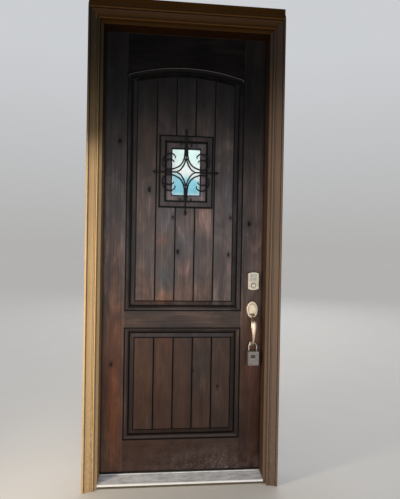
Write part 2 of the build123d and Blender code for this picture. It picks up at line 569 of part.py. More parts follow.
vtop = bx(GRX - 3.5, GRX + 3.5, GR_Y0, GR_Y1, GRZ + 70, GRZ + 212)
vbot = bx(GRX - 3.5, GRX + 3.5, GR_Y0, GR_Y1, GRZ - 212, GRZ - 70)
hl = bx(GRX - 156, GRX - 46, GR_Y0, GR_Y1, GRZ - 3.5, GRZ + 3.5)
hr = bx(GRX + 46, GRX + 156, GR_Y0, GR_Y1, GRZ - 3.5, GRZ + 3.5)
collars = [bx(GRX - 9, GRX + 9, GR_Y0 - 2, GR_Y1 + 1, GRZ + s * 140 - 5, GRZ + s * 140 + 5) for s in (1, -1)]
tips = [spear(0, 1, 208, 243), spear(0, -1, 208, 243), spear(1, 0, 152, 187), spear(-1, 0, 152, 187)]
posts = [(0, 184), (0, -184), (133, 0), (-133, 0)]
feet = [cy(GRX + x, GRZ + z + (0 if z == 0 else 0), 5.0, GR_Y1 - 0.5, -5.5) for x, z in posts]
grille = vtop + [vbot, hl, hr] + bars + collars + tips + feet
grille = grille - [cy(GRX + x, GRZ + z, 2.0, GR_Y0 - 5, 0) for x, z in posts]
node("speakeasy_grille", grille)


def round_screw_y(x, z, y_head, length):
    """Round-head screw along +Y, head proud at y_head."""
    return Solid.revolve(path_face((0, y_head - 2.6), [("l", (1.0, y_head - 2.6)), ("a", (2.9, y_head - 1.7), (4.0, y_head)),
                                                       ("l", (2.0, y_head)), ("l", (2.0, y_head + length)),
                                                       ("l", (0, y_head + length + 2))],
                                   lambda r, y: Vector(x + r, y, z)), 360, Axis((x, 0, z), (0, 1, 0))) - \
        bx(x - 3.0, x + 3.0, y_head - 4, y_head - 1.6, z - 0.45, z + 0.45)


node("grille_screws", [round_screw_y(GRX + x, GRZ + z, GR_Y0, 12.0) for x, z in posts])

# ---------------------------------------------------------------- deadbolt
KZ0, KZ1, KR = 1065.0, 1156.0, 8.0


def arched_plate(hw, z0, z1, rise, y0, y1, taper):
    """Plate with bowed top and bottom, tapering from y0 to y1."""
    def face(s, y):
        a, b, c, r = hw - s, z0 + s * 0.6, z1 - s * 0.6, rise
        e = [Edge.make_line((HX - a, y, b), (HX - a, y, c)),
             Edge.make_three_point_arc((HX - a, y, c), (HX, y, c + r), (HX + a, y, c)),
             Edge.make_line((HX + a, y, c), (HX + a, y, b)),
             Edge.make_three_point_arc((HX + a, y, b), (HX, y, b - r), (HX - a, y, b))]
        return Face(Wire(e))
    return Solid.make_loft([face(0, y0).outer_wire(), face(taper, y1).outer_wire()], True)


house = arched_plate(34.5, KZ0, KZ1, 7.5, 0.0, -24.5, 4.0)
house = soften(house, house.faces().sort_by(Axis.Y)[0].edges(), (1.6, 1.0, 0.6))
ring_boss = cy(HX, BOLT_Z, 12.0, -28.5, -20.0)
ring_boss = fillet(ring_boss.faces().sort_by(Axis.Y)[0].edges(), 1.2)
house = house + ring_boss
cavity = bx(HX - 27, HX + 27, -13.0, 1.0, KZ0 + 6, KZ1 - 4) - cy(HX, BOLT_Z, 11.0, -20.0, 2.0)
house = house - cavity
KEY_N, KEY_W, KEY_H, KEY_P = 5, 38.0, 6.2, 8.0
KEY_ZC = 1130.5
key_z = [KEY_ZC + (2 - k) * KEY_P for k in range(KEY_N)]
house = house - bx(HX - 22.5, HX + 22.5, -26.0, -23.3, KEY_ZC - 22.0, KEY_ZC + 22.0)
for z in key_z:
    house = house - bx(HX - KEY_W / 2 - 0.35, HX + KEY_W / 2 + 0.35, -30, -12.0, z - KEY_H / 2 - 0.35,
                       z + KEY_H / 2 + 0.35)
house = house - cy(HX, BOLT_Z, 6.55, -40, 2)
node("deadbolt_keypad_housing", house)
for k, z in enumerate(key_z):
    key = bx(HX - KEY_W / 2, HX + KEY_W / 2, -26.2, -17.0, z - KEY_H / 2, z + KEY_H / 2)
    key = soften(key, key.faces().sort_by(Axis.Y)[0].edges(), (1.1, 0.8))
    node(f"keypad_key_{k + 1}", key + bx(HX - KEY_W / 2 + 2, HX + KEY_W / 2 - 2, -17.1, -14.0,
                                         z - KEY_H / 2 + 1, z + KEY_H / 2 - 1))
plug = cy(HX, BOLT_Z, 6.5, -29.4, -3.0) - bx(HX - 0.9, HX + 0.9, -31, -16, BOLT_Z - 4.2, BOLT_Z + 3.4)
node("key_plug", plug)

inside = arched_plate(33.0, 1058.0, 1168.0, 5.0, T, T + 21.0, 4.0)
inside = soften(inside, inside.faces().sort_by(Axis.Y)[-1].edges(), (2.0, 1.2, 0.6))
inside = inside - bx(HX - 26, HX + 26, T - 1, T + 17.0, 1106.0, 1161.0)
inside = inside - bx(HX - 26, HX + 26, T - 1, T + 6.0, 1064.0, 1106.0)
inside = inside - cy(HX, BOLT_Z, 5.1, T - 2, T + 40)
node("deadbolt_inside_housing", inside)
turn = cy(HX, BOLT_Z, 5.0, T - 6.0, T + 26.0) + cy(HX, BOLT_Z, 9.0, T + 21.4, T + 24.5)
lever = Pos(HX, T + 32.0, BOLT_Z) * Box(9.0, 15.0, 34.0)
lever = fillet(lever.edges().filter_by(Axis.Y), 4.0)
lever = soften(lever, lever.faces().sort_by(Axis.Y)[-1].edges(), (1.5, 1.0))
turn = turn + lever + bx(HX - 3.0, HX + 3.0, 2.0, T - 5.5, BOLT_Z - 1.2, BOLT_Z + 1.2)
node("deadbolt_thumbturn", turn)
bolt = bx(HX + 8.5, LEAF_HW - 0.3, LOCK_Y - 6.5, LOCK_Y + 6.5, BOLT_Z - 10, BOLT_Z + 10)
bolt = chamfer(bolt.faces().sort_by(Axis.X)[-1].edges(), 1.5)
node("deadbolt_bolt", bolt)


def faceplate(zc, hz, hy):
    p = bx(LEAF_HW - 2.0, LEAF_HW, LOCK_Y - 12.7, LOCK_Y + 12.7, zc - 28.5, zc + 28.5)
    p = fillet(p.edges().filter_by(Axis.X), 4.0)
    p = p - bx(LEAF_HW - 4, LEAF_HW + 1, LOCK_Y - hy, LOCK_Y + hy, zc - hz, zc + hz)
    return p - [screw_void_x(y, z, LEAF_HW, -1) for y, z in strike_sites if abs(z - zc) < 30]


node("edge_faceplates", [faceplate(BOLT_Z, 10.1, 6.6), faceplate(LATCH_Z, 9.1, 6.6)])

# ---------------------------------------------------------------- handle set
def oval(a, b, y0, y1, zc, sc=1.0):
    f0 = Face(Wire(Edge.make_ellipse(a, b, Plane(origin=(HX, y0, zc), x_dir=(1, 0, 0), z_dir=(0, 1, 0)))))
    return Solid.extrude(f0, Vector(0, y1 - y0, 0))


THP_Z, THP_Y = 921.0, -3.4
rose = oval(33.0, 49.0, -9.5, 0.0, ROSE_Z)
rose = soften(rose, rose.faces().sort_by(Axis.Y)[0].edges(), (4.5, 3.0, 1.5))
rose = rose - oval(22.5, 30.0, -12.0, -6.6, 958.0)
rose = rose - bx(HX - 11.0, HX + 11.0, -20, 3, THP_Z - 5.0, THP_Z + 5.0)
rose = rose - oval(25.0, 17.0, -4.0, 1.0, THP_Z - 2) - cy(HX, LATCH_Z, 20.0, -4.0, 1.0)
node("handle_rose", rose)

# grip: elliptical sections along a bow, thick at the top and slim at the foot
GRIP = [  # y, z, half width, half thickness, direction of travel (dy, dz)
    (-9.5, 904.5, 8.5, 5.0, (-1.0, 0.0)),
    (-24.0, 904.0, 9.5, 5.4, (-1.0, -0.10)),
    (-42.0, 898.0, 12.5, 6.0, (-0.90, -0.50)),
    (-54.5, 884.0, 15.6, 6.6, (-0.42, -0.91)),
    (-59.0, 866.0, 16.3, 7.2, (-0.12, -1.0)),
    (-61.0, 838.0, 13.2, 7.2, (0.0, -1.0)),
    (-60.0, 810.0, 9.2, 6.6, (0.10, -1.0)),
    (-55.0, 782.0, 6.6, 5.8, (0.30, -0.95)),
    (-45.0, 762.0, 5.8, 5.4, (0.72, -0.70)),
    (-32.0, 754.0, 6.0, 5.8, (0.97, -0.25)),
    (-14.0, 753.0, 6.4, 6.4, (1.0, 0.0)),
    (-3.5, 753.0, 6.5, 6.5, (1.0, 0.0)),
]
wires = []
for y, z, a, b, (dy, dz) in GRIP:
    pl = Plane(origin=(HX, y, z), x_dir=(1, 0, 0), z_dir=(0, dy, dz))
    wires.append(Wire(Edge.make_ellipse(a, b, pl)))
grip = Solid.make_loft(wires, False)
foot = Solid.revolve(path_face((0, 0), [("l", (13.0, 0)), ("l", (13.0, -1.6)), ("a", (11.0, -3.4), (6.0, -4.0)),
                                        ("l", (0, -4.0))],
                               lambda r, y: Vector(HX + r, y, FOOT_Z)), 360, Axis((HX, 0, FOOT_Z), (0, 1, 0)))
stud = cy(HX, FOOT_Z, 2.95, -0.5, T)
grip = grip + foot + stud
node("handle_grip", grip)

# thumbpiece, shown pressed down; it lifts 14 degrees when let go
tp = [(-4.0, -2.2), (-12.0, -2.0), (-26.0, -2.6), (-40.0, -5.4), (-40.6, -3.8), (-26.0, 1.0), (-12.0, 2.0),
      (-4.0, 2.2)]
thumb = prism_yz([(y, THP_Z + z) for y, z in tp], HX - 10.0, HX + 10.0)
thumb = soften(thumb, thumb.edges().filter_by(Axis.X).sort_by(Axis.Y)[:2], (0.6, 0.4))
thumb = thumb + cx(THP_Y, THP_Z, 3.0, HX - 10.0, HX + 10.0) + \
    prism_yz([(-4.5, THP_Z), (-4.5, THP_Z + 2.6), (12.0, THP_Z + 8.0), (12.0, THP_Z + 5.6)],
             HX - 4.0, HX + 4.0)
node("thumbpiece", thumb)

latch = prism_xy([(HX + 9.0, LOCK_Y - 6.5), (LEAF_HW - 11.5, LOCK_Y - 6.5), (LEAF_HW - 0.3, LOCK_Y + 4.5),
                  (LEAF_HW - 0.3, LOCK_Y + 6.5), (HX + 9.0, LOCK_Y + 6.5)], LATCH_Z - 9, LATCH_Z + 9)
node("latch_bolt", latch)

rin_ = oval(33.0, 49.0, T, T + 9.0, LATCH_Z)
rin_ = soften(rin_, rin_.faces().sort_by(Axis.Y)[-1].edges(), (4.0, 2.5, 1.2))
rin_ = rin_ - cy(HX, LATCH_Z, 10.1, T - 2, T + 20)
node("knob_rose_inside", rin_)
kp = path_face((0, T - 8.0), [("l", (3.6, T - 8.0)), ("l", (3.6, T - 0.5)), ("l", (10.0, T - 0.5)),
                              ("l", (10.0, T + 24.0)), ("a", (15.0, T + 29.0), (23.5, T + 33.0)),
                              ("a", (28.0, T + 44.0), (22.0, T + 55.0)), ("a", (15.5, T + 58.6), (8.0, T + 59.8)),
                              ("l", (0, T + 59.8))],
               lambda r, y: Vector(HX + r, y, LATCH_Z))
node("inside_knob", Solid.revolve(kp, 360, Axis((HX, 0, LATCH_Z), (0, 1, 0))))

# ---------------------------------------------------------------- key box
LX0, LX1 = LBX - 30.5, LBX + 30.5
LY0, LY1, LY2 = -12.0, -38.0, -51.5
body = bx(LX0, LX1, LY1, LY0, LB_Z0, LB_Z1)
body = fillet(body.edges().filter_by(Axis.Y), 5.0)
body = soften(body, body.faces().sort_by(Axis.Y)[-1].edges(), (2.5, 1.5))
body = body - bx(LX0 + 4, LX1 - 4, LY1 - 1, LY0 - 3.5, LB_Z0 + 9, LB_Z1 - 12)
U_Y, U_R, U_C = -26.0, 4.0, 22.0
for s in (-1, 1):
    body = body - cz(LBX + s * U_C, U_Y, U_R + 0.06, LB_Z1 - 11.0, LB_Z1 + 1)
ear_y, ear_z = -45.5, LB_Z0 + 5.0
for x0, x1 in ((LX0, LX0 + 4), (LX1 - 4, LX1)):
    body = body + bx(x0, x1, -45.5, LY1 + 0.5, LB_Z0 + 2.0, LB_Z0 + 8.0) + cx(ear_y, ear_z, 3.0, x0, x1)
    body = body - cx(ear_y, ear_z, 1.55, x0 - 1, x1 + 1)
node("lockbox_body", body)

dz0 = LB_Z0 + 9.5
door = bx(LX0, LX1, LY2, LY1 - 0.3, dz0, LB_Z1)
door = fillet([e for e in door.edges().filter_by(Axis.Y) if e.center().Z > LB_Z1 - 5], 5.0)
door = soften(door, door.faces().sort_by(Axis.Y)[0].edges(), (1.6, 1.0))
door = door + bx(LX0 + 4.4, LX1 - 4.4, LY2 + 2.5, ear_y + 0.01, ear_z, dz0 + 1) + \
    bx(LX0 + 4.4, LX1 - 4.4, ear_y, ear_y + 3.0, ear_z, dz0 + 1) + \
    cx(ear_y, ear_z, 3.0, LX0 + 4.4, LX1 - 4.4) + cx(ear_y, ear_z, 1.5, LX0 + 0.5, LX1 - 0.5)
WH_Z, WH_Y, WH_R, WH_W = 693.0, -45.0, 8.2, 5.6
wx = [LBX - 4.0 + (k - 1.5) * 6.6 for k in range(4)]
wlo, whi = wx[0] - WH_W / 2 - 0.6, wx[3] + WH_W / 2 + 0.6
door = door - bx(wlo, whi, LY2 - 1, LY1 + 1, WH_Z - WH_R - 0.5, WH_Z + WH_R + 0.5)
for k in range(3):
    xm = (wx[k] + wx[k + 1]) / 2
    door = door + bx(xm - 0.3, xm + 0.3, LY2 + 0.4, LY1 - 0.3, WH_Z - WH_R - 0.6, WH_Z + WH_R + 0.6)
door = door + cx(WH_Y, WH_Z, 1.5, wlo - 1, whi + 1)
door = door - bx(LBX + 16.0, LBX + 22.0, LY2 - 1, LY2 + 2.0, WH_Z - 7, WH_Z + 7)
node("lockbox_door", door)
for k, x in enumerate(wx):
    w = cx(WH_Y, WH_Z, WH_R - 0.6, x - WH_W / 2, x + WH_W / 2)
    for j in range(10):
        a = math.radians(36 * j)
        w = w + Pos(x, WH_Y + (WH_R - 1.6) * math.sin(a), WH_Z + (WH_R - 1.6) * math.cos(a)) * \
            Rot(0, 90, 0) * Cylinder(1.6, WH_W)
    w = w - cx(WH_Y, WH_Z, 1.55, x - 10, x + 10)
    node(f"lockbox_wheel_{k + 1}", w)

U_ZC = 742.2
path = Wire([Edge.make_line((LBX - U_C, U_Y, LB_Z1 - 10.5), (LBX - U_C, U_Y, U_ZC)),
             Edge.make_three_point_arc((LBX - U_C, U_Y, U_ZC), (LBX, U_Y, U_ZC + U_C), (LBX + U_C, U_Y, U_ZC)),
             Edge.make_line((LBX + U_C, U_Y, U_ZC), (LBX + U_C, U_Y, LB_Z1 - 10.5))])
sec = Face(Wire(Edge.make_circle(U_R, Plane(origin=(LBX - U_C, U_Y, LB_Z1 - 10.5), z_dir=(0, 0, 1)))))
node("lockbox_shackle", Solid.sweep(sec, path))

print(len(NODES), "nodes")
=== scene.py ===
import json
import math
import random

import bmesh
import bpy
from mathutils import Matrix, Vector, noise

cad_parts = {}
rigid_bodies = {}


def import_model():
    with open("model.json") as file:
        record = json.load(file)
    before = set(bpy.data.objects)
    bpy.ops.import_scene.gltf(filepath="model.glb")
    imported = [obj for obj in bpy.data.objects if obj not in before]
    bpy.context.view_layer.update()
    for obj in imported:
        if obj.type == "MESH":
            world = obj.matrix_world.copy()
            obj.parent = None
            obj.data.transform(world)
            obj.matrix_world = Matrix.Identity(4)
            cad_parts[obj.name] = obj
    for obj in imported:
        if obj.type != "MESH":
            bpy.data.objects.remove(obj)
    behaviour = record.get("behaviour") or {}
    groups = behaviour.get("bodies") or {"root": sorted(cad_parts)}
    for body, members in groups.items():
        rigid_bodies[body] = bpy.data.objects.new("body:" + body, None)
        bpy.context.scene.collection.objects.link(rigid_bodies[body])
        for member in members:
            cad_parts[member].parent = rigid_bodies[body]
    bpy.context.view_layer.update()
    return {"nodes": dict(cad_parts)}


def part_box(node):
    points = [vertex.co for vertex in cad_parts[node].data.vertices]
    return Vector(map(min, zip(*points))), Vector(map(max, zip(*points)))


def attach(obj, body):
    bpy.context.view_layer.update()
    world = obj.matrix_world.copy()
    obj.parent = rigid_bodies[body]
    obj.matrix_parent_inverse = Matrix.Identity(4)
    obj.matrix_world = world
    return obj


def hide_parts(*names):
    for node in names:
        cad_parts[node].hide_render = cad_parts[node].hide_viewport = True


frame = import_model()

NODES = frame["nodes"]
random.seed(7)


# ------------------------------------------------------------------ node helpers
class Net:
    """A small wrapper round a material's node tree."""

    def __init__(self, name):
        self.mat = bpy.data.materials.new(name)
        self.mat.use_nodes = True
        self.t = self.mat.node_tree
        self.t.nodes.clear()
        self.out = self.t.nodes.new("ShaderNodeOutputMaterial")
        self.bsdf = self.t.nodes.new("ShaderNodeBsdfPrincipled")
        self.t.links.new(self.bsdf.outputs[0], self.out.inputs[0])
        self.coord = self.t.nodes.new("ShaderNodeTexCoord").outputs["Object"]
        s = self.t.nodes.new("ShaderNodeSeparateXYZ")
        self.t.links.new(self.coord, s.inputs[0])
        self.x, self.y, self.z = s.outputs

    def put(self, socket, v):
        if isinstance(v, bpy.types.NodeSocket):
            self.t.links.new(v, socket)
        elif isinstance(v, (tuple, list)) and socket.type == "RGBA" and len(v) == 3:
            socket.default_value = (*v, 1.0)
        else:
            socket.default_value = v

    def m(self, op, a, b=None, c=None, clamp=False):
        n = self.t.nodes.new("ShaderNodeMath")
        n.operation = op
        n.use_clamp = clamp
        for s, v in zip(n.inputs, (a, b, c)):
            if v is not None:
                self.put(s, v)
        return n.outputs[0]

    def vec(self, x, y, z):
        n = self.t.nodes.new("ShaderNodeCombineXYZ")
        for s, v in zip(n.inputs, (x, y, z)):
            self.put(s, v)
        return n.outputs[0]

    def vmul(self, v, k):
        n = self.t.nodes.new("ShaderNodeVectorMath")
        n.operation = "MULTIPLY"
        self.put(n.inputs[0], v)
        n.inputs[1].default_value = k
        return n.outputs[0]

    def noise(self, v, scale=1.0, detail=3.0, rough=0.5, dist=0.0):
        n = self.t.nodes.new("ShaderNodeTexNoise")
        self.put(n.inputs["Vector"], v)
        n.inputs["Scale"].default_value = scale
        n.inputs["Detail"].default_value = detail
        n.inputs["Roughness"].default_value = rough
        n.inputs["Distortion"].default_value = dist
        return n.outputs["Fac"]

    def voronoi(self, v, scale, feature="F1", smooth=None):
        n = self.t.nodes.new("ShaderNodeTexVoronoi")
        n.feature = feature
        self.put(n.inputs["Vector"], v)
        n.inputs["Scale"].default_value = scale
        return n.outputs["Distance"]

    def white(self, w):
        n = self.t.nodes.new("ShaderNodeTexWhiteNoise")
        n.noise_dimensions = "1D"
        self.put(n.inputs["W"], w)
        return n.outputs["Value"]

    def map(self, v, a, b, c=0.0, d=1.0, smooth=True):
        n = self.t.nodes.new("ShaderNodeMapRange")
        n.interpolation_type = "SMOOTHSTEP" if smooth else "LINEAR"
        n.clamp = True
        self.put(n.inputs["Value"], v)
        for k, val in zip(("From Min", "From Max", "To Min", "To Max"), (a, b, c, d)):
            self.put(n.inputs[k], val)
        return n.outputs[0]

    def ramp(self, v, stops):
        n = self.t.nodes.new("ShaderNodeValToRGB")
        r = n.color_ramp
        while len(r.elements) < len(stops):
            r.elements.new(0.5)
        for e, (p, c) in zip(r.elements, stops):
            e.position = p
            e.color = (*c, 1.0)
        self.put(n.inputs[0], v)
        return n.outputs[0]

    def mix(self, fac, a, b, mode="MIX"):
        n = self.t.nodes.new("ShaderNodeMix")
        n.data_type = "RGBA"
        n.blend_type = mode
        n.clamp_factor = True
        self.put(n.inputs[0], fac)
        self.put(n.inputs[6], a)
        self.put(n.inputs[7], b)
        return n.outputs[2]

    def grey(self, v):
        """A value as a colour, for multiplying."""
        n = self.t.nodes.new("ShaderNodeCombineColor")
        for s in n.inputs:
            self.put(s, v)
        return n.outputs[0]

    def bump(self, height, strength, distance, under=None):
        n = self.t.nodes.new("ShaderNodeBump")
        n.inputs["Strength"].default_value = strength
        n.inputs["Distance"].default_value = distance
        self.put(n.inputs["Height"], height)
        if under is not None:
            self.put(n.inputs["Normal"], under)
        return n.outputs[0]

    def set(self, **kw):
        for k, v in kw.items():
            self.put(self.bsdf.inputs[k.replace("_", " ")], v)


def srgb(r, g, b):
    def f(c):
        c /= 255.0
        return c / 12.92 if c <= 0.04045 else ((c + 0.055) / 1.055) ** 2.4
    return (f(r), f(g), f(b))


# ------------------------------------------------------------------ wood
PITCH = 0.1084
KNOTS = [(-0.200, 1.613, 0.0115), (-0.036, 1.269, 0.0105), (0.366, 1.434, 0.0110), (-0.365, 1.874, 0.0095),
         (0.258, 1.466, 0.0070), (0.250, 1.256, 0.0070), (-0.068, 1.462, 0.0065), (0.020, 1.560, 0.0035),
         (0.060, 0.600, 0.0040), (-0.395, 0.640, 0.0060), (0.200, 0.510, 0.0050), (-0.330, 2.250, 0.0060),
         (0.410, 2.050, 0.0060), (0.100, 2.090, 0.0050)]
DEEP, MID, PALE = srgb(33, 21, 16), srgb(76, 56, 46), srgb(124, 97, 83)


def panel_depth(t):
    """How far a point lies inside the nearer panel opening, from its joint line; negative outside it."""
    ax = t.m("SUBTRACT", t.m("ABSOLUTE", t.x), 0.3256)
    dz = t.m("SUBTRACT", t.z, 1.221)
    rad = t.m("SQRT", t.m("ADD", t.m("MULTIPLY", t.x, t.x), t.m("MULTIPLY", dz, dz)))
    up = t.m("MAXIMUM", t.m("MAXIMUM", ax, t.m("SUBTRACT", 0.938, t.z)), t.m("SUBTRACT", rad, 1.078))
    lo = t.m("MAXIMUM", ax, t.m("MAXIMUM", t.m("SUBTRACT", 0.218, t.z), t.m("SUBTRACT", t.z, 0.843)))
    return t.m("MULTIPLY", t.m("MINIMUM", up, lo), -1.0)


def band(t, v, centre, half, soft):
    return t.map(t.m("ABSOLUTE", t.m("SUBTRACT", v, centre)), half, half + soft, 1.0, 0.0)


def wood(name, along="Z", boards=False, seed=0.0, light=1.0, knots=(), patches=(), grooves=(), dust=0.0,
         warm=0.5, gloss=0.34, lines=False, spec=0.22, speak=False, coat=0.07, edges=False, even=0.50,
         low_light=0.86, top_shade_span=(1.50, 2.18)):
    """Dark stained knotty wood under satin varnish, with painted shade towards its top and foot.  along is the grain's
    direction; boards splits the colour at the V joints; patches are (x, z, rx, rz, colour, strength) for turned stain
    and for painted sheen, reflection and warm light; lines darkens the quirks of the sticking and of the raised field
    with stain, dirt and painted shade, and paints highlights on the sticking."""
    t = Net(name)
    u, v = (t.x, t.z) if along == "Z" else (t.z, t.x)
    if boards:
        b = t.m("FLOOR", t.m("ADD", t.m("DIVIDE", t.x, PITCH), 0.5))
        b = t.m("ADD", b, seed * 3.0 + 11.0)
        tone = t.white(b)
        tone2 = t.white(t.m("ADD", b, 41.5))
        uu = t.m("ADD", u, t.m("MULTIPLY", b, 0.773))
        vv = t.m("ADD", v, t.m("MULTIPLY", b, 2.37))
    else:
        tone, tone2 = 0.5, 0.5
        uu = t.m("ADD", u, seed * 1.31)
        vv = t.m("ADD", v, seed * 2.77)
    w = t.m("ADD", t.y, seed)
    # the grain wanders a little along the board, and bends round the knots
    sway = t.m("MULTIPLY", t.m("SUBTRACT", t.noise(t.vmul(t.vec(uu, w, vv), (3.0, 3.0, 1.6)), 1.0, 2.0), 0.5), 0.030)
    core = halo = None
    for kx, kz, size in knots:
        du = t.m("SUBTRACT", t.x, kx)
        dv = t.m("SUBTRACT", t.z, kz)
        if along == "Z":
            across, dv = du, t.m("MULTIPLY", dv, 0.62)
        else:
            across, du = dv, t.m("MULTIPLY", du, 0.62)
        d = t.m("SQRT", t.m("ADD", t.m("MULTIPLY", du, du), t.m("MULTIPLY", dv, dv)))
        d = t.m("DIVIDE", d, size)
        d = t.m("ADD", d, t.m("MULTIPLY", t.m("SUBTRACT", t.noise(t.coord, 170.0, 2.0), 0.5), 1.1))
        near = t.m("POWER", 2.718, t.m("MULTIPLY", t.m("MULTIPLY", d, d), -0.10))
        sway = t.m("SUBTRACT", sway, t.m("MULTIPLY", t.m("MULTIPLY", across, near), 0.55))
        c = t.map(d, 0.65, 1.10, 1.0, 0.0)
        h = t.map(d, 0.9, 3.4, 0.62, 0.0)
        core = c if core is None else t.m("MAXIMUM", core, c)
        halo = h if halo is None else t.m("MAXIMUM", halo, h)
    p = t.vec(t.m("ADD", uu, sway), w, vv)

    rings = t.noise(t.vmul(p, (20.0, 16.0, 0.42)), 1.0, 2.0, 0.45)
    rings = t.map(t.m("SINE", t.m("MULTIPLY", rings, 92.0)), -1.0, 0.95, 0.0, 1.0)
    fibre = t.noise(t.vmul(p, (420, 420, 6.0)), 1.0, 3.0, 0.62)
    streak = t.noise(t.vmul(p, (88, 88, 1.0)), 1.0, 4.0, 0.58)
    wide = t.noise(t.vmul(p, (24, 24, 0.7)), 1.0, 2.0, 0.5)
    pores = t.map(t.noise(t.vmul(p, (900, 900, 15)), 1.0, 1.0, 0.5), 0.60, 0.70, 0.0, 1.0)
    cloud = t.noise(t.vmul(t.vec(uu, w, vv), (5.0, 5.0, 1.6)), 1.0, 3.0, 0.5)
    cloud2 = t.noise(t.vmul(t.vec(uu, t.m("ADD", w, 3.3), vv), (10.0, 10.0, 3.6)), 1.0, 3.0, 0.55)

    blotch = t.noise(t.vmul(t.vec(uu, w, vv), (9.5, 9.5, 3.6)), 1.0, 4.0, 0.58, 0.9)
    grain = t.m("ADD", t.m("MULTIPLY", rings, 0.04), t.m("MULTIPLY", streak, 0.17))
    grain = t.m("ADD", grain, t.m("MULTIPLY", fibre, 0.20))
    grain = t.m("ADD", grain, t.m("MULTIPLY", wide, 0.14))
    grain = t.m("ADD", grain, t.m("MULTIPLY", blotch, 0.45))
    # the foot of the door took its stain more evenly than the middle
    grain = t.m("ADD", 0.505, t.m("MULTIPLY", t.m("SUBTRACT", grain, 0.505), t.map(t.z, 0.75, 1.05, even, 1.0)))
    col = t.ramp(grain, [(0.37, DEEP), (0.51, MID), (0.66, PALE)])

    # the stain leans blue-grey where it has weathered and red-brown where it has not; the lean to blue-grey that grows
    # with height is partly a painted cool sheen
    lean = t.m("ADD", t.m("MULTIPLY", cloud, 0.9), t.m("MULTIPLY", cloud2, 0.7))
    lean = t.m("SUBTRACT", lean, 0.20)
    if boards:
        lean = t.m("ADD", lean, t.m("MULTIPLY", t.m("SUBTRACT", tone2, 0.5), 0.30))
    lean = t.m("ADD", lean, t.map(t.z, 0.75, 1.30, -0.14, 0.30))
    cool = t.map(lean, 0.48, 0.95)
    col = t.mix(t.m("MULTIPLY", cool, 0.75), col, t.mix(1.0, col, (0.80, 0.98, 1.28), "MULTIPLY"))
    warmth = t.map(t.m("SUBTRACT", 1.25, lean), 0.50, 0.95)
    col = t.mix(t.m("MULTIPLY", warmth, warm), col, t.mix(1.0, col, (1.22, 0.94, 0.74), "MULTIPLY"))
    bright = t.map(cloud2, 0.32, 0.68, 0.68, 1.32)
    bright = t.m("ADD", 1.0, t.m("MULTIPLY", t.m("SUBTRACT", bright, 1.0), t.map(t.z, 0.75, 1.05, even, 1.0)))
    bright = t.m("MULTIPLY", bright, light)
    if boards:
        bright = t.m("MULTIPLY", bright, t.m("ADD", 0.84, t.m("MULTIPLY", tone, 0.32)))
    # painted shade: darker towards the top, and darker towards the foot by low_light, on the outside face only
    outside = t.map(t.y, 0.008, 0.020, 1.0, 0.0)
    painted_shade = t.m("SUBTRACT", 1.0, t.m("MULTIPLY", t.map(t.z, top_shade_span[0], top_shade_span[1], 1.0, 0.08), t.map(t.z, 0.15, 1.0, low_light, 1.0)))
    bright = t.m("MULTIPLY", bright, t.m("SUBTRACT", 1.0, t.m("MULTIPLY", painted_shade, outside)))
    col = t.mix(1.0, col, t.grey(bright), "MULTIPLY")

    edge = t.m("MULTIPLY", t.m("SUBTRACT", t.noise(t.vmul(p, (26, 26, 9)), 1.0, 4.0, 0.6), 0.5), 0.9)
    for px, pz, rx, rz, pc, st in patches:
        dx = t.m("DIVIDE", t.m("SUBTRACT", t.x, px), rx)
        dz = t.m("DIVIDE", t.m("SUBTRACT", t.z, pz), rz)
        d = t.m("SQRT", t.m("ADD", t.m("MULTIPLY", dx, dx), t.m("MULTIPLY", dz, dz)))
        k = t.map(t.m("ADD", d, edge), 0.25, 1.20, st, 0.0)
        col = t.mix(k, col, t.mix(1.0, col, pc, "MULTIPLY"))
    col = t.mix(t.m("MULTIPLY", pores, 0.35), col, srgb(22, 13, 10))
    if core is not None:
        col = t.mix(halo, col, srgb(26, 16, 12))
        col = t.mix(t.m("MULTIPLY", core, 0.96), col, srgb(9, 6, 6))

    # the quirks and V joints hold stain and dirt deepened by painted shade; painted shade darkens the wood beside
    # them, and the sticking carries painted shade and highlights
    dark = None
    if lines:
        D = panel_depth(t)
        # the sticking's crown is lightened: partly rubbed wear, partly a painted highlight
        crown = t.m("MULTIPLY", t.map(D, 0.004, 0.010), t.map(D, 0.016, 0.023, 1.0, 0.0))
        # painted shade on the sticking under the arch
        under = t.m("MULTIPLY", t.map(t.z, 2.13, 2.17), t.m("MULTIPLY", t.map(D, 0.0050, 0.0075), t.map(D, 0.024, 0.027, 1.0, 0.0)))
        col = t.mix(t.m("MULTIPLY", under, 0.9), col, srgb(10, 8, 7))
        # painted shade, tinted blue-grey, over the sticking and the flat border round the raised field
        border = t.m("MULTIPLY", t.map(D, 0.029, 0.031), t.map(D, 0.0525, 0.0545, 1.0, 0.0))
        stick = t.m("MULTIPLY", t.map(D, 0.002, 0.005), t.map(D, 0.0245, 0.0265, 1.0, 0.0))
        col = t.mix(t.m("MULTIPLY", stick, 0.85), col, t.mix(1.0, col, (0.50, 0.56, 0.64), "MULTIPLY"))
        # the outer strips of the upper panel, beside the stiles, are darkened and cooled
        flank = t.m("MULTIPLY", t.map(t.m("ABSOLUTE", t.x), 0.264, 0.272), t.map(t.z, 0.85, 1.0))
        flank = t.m("MULTIPLY", flank, t.map(D, 0.001, 0.004))
        col = t.mix(t.m("MULTIPLY", flank, 0.80), col, t.mix(1.0, col, (0.42, 0.45, 0.52), "MULTIPLY"))
        col = t.mix(t.m("MULTIPLY", crown, 0.20), col, t.mix(1.0, col, (1.45, 1.42, 1.40), "MULTIPLY"))
        col = t.mix(t.m("MULTIPLY", border, 0.90), col, t.mix(1.0, col, (0.46, 0.51, 0.60), "MULTIPLY"))
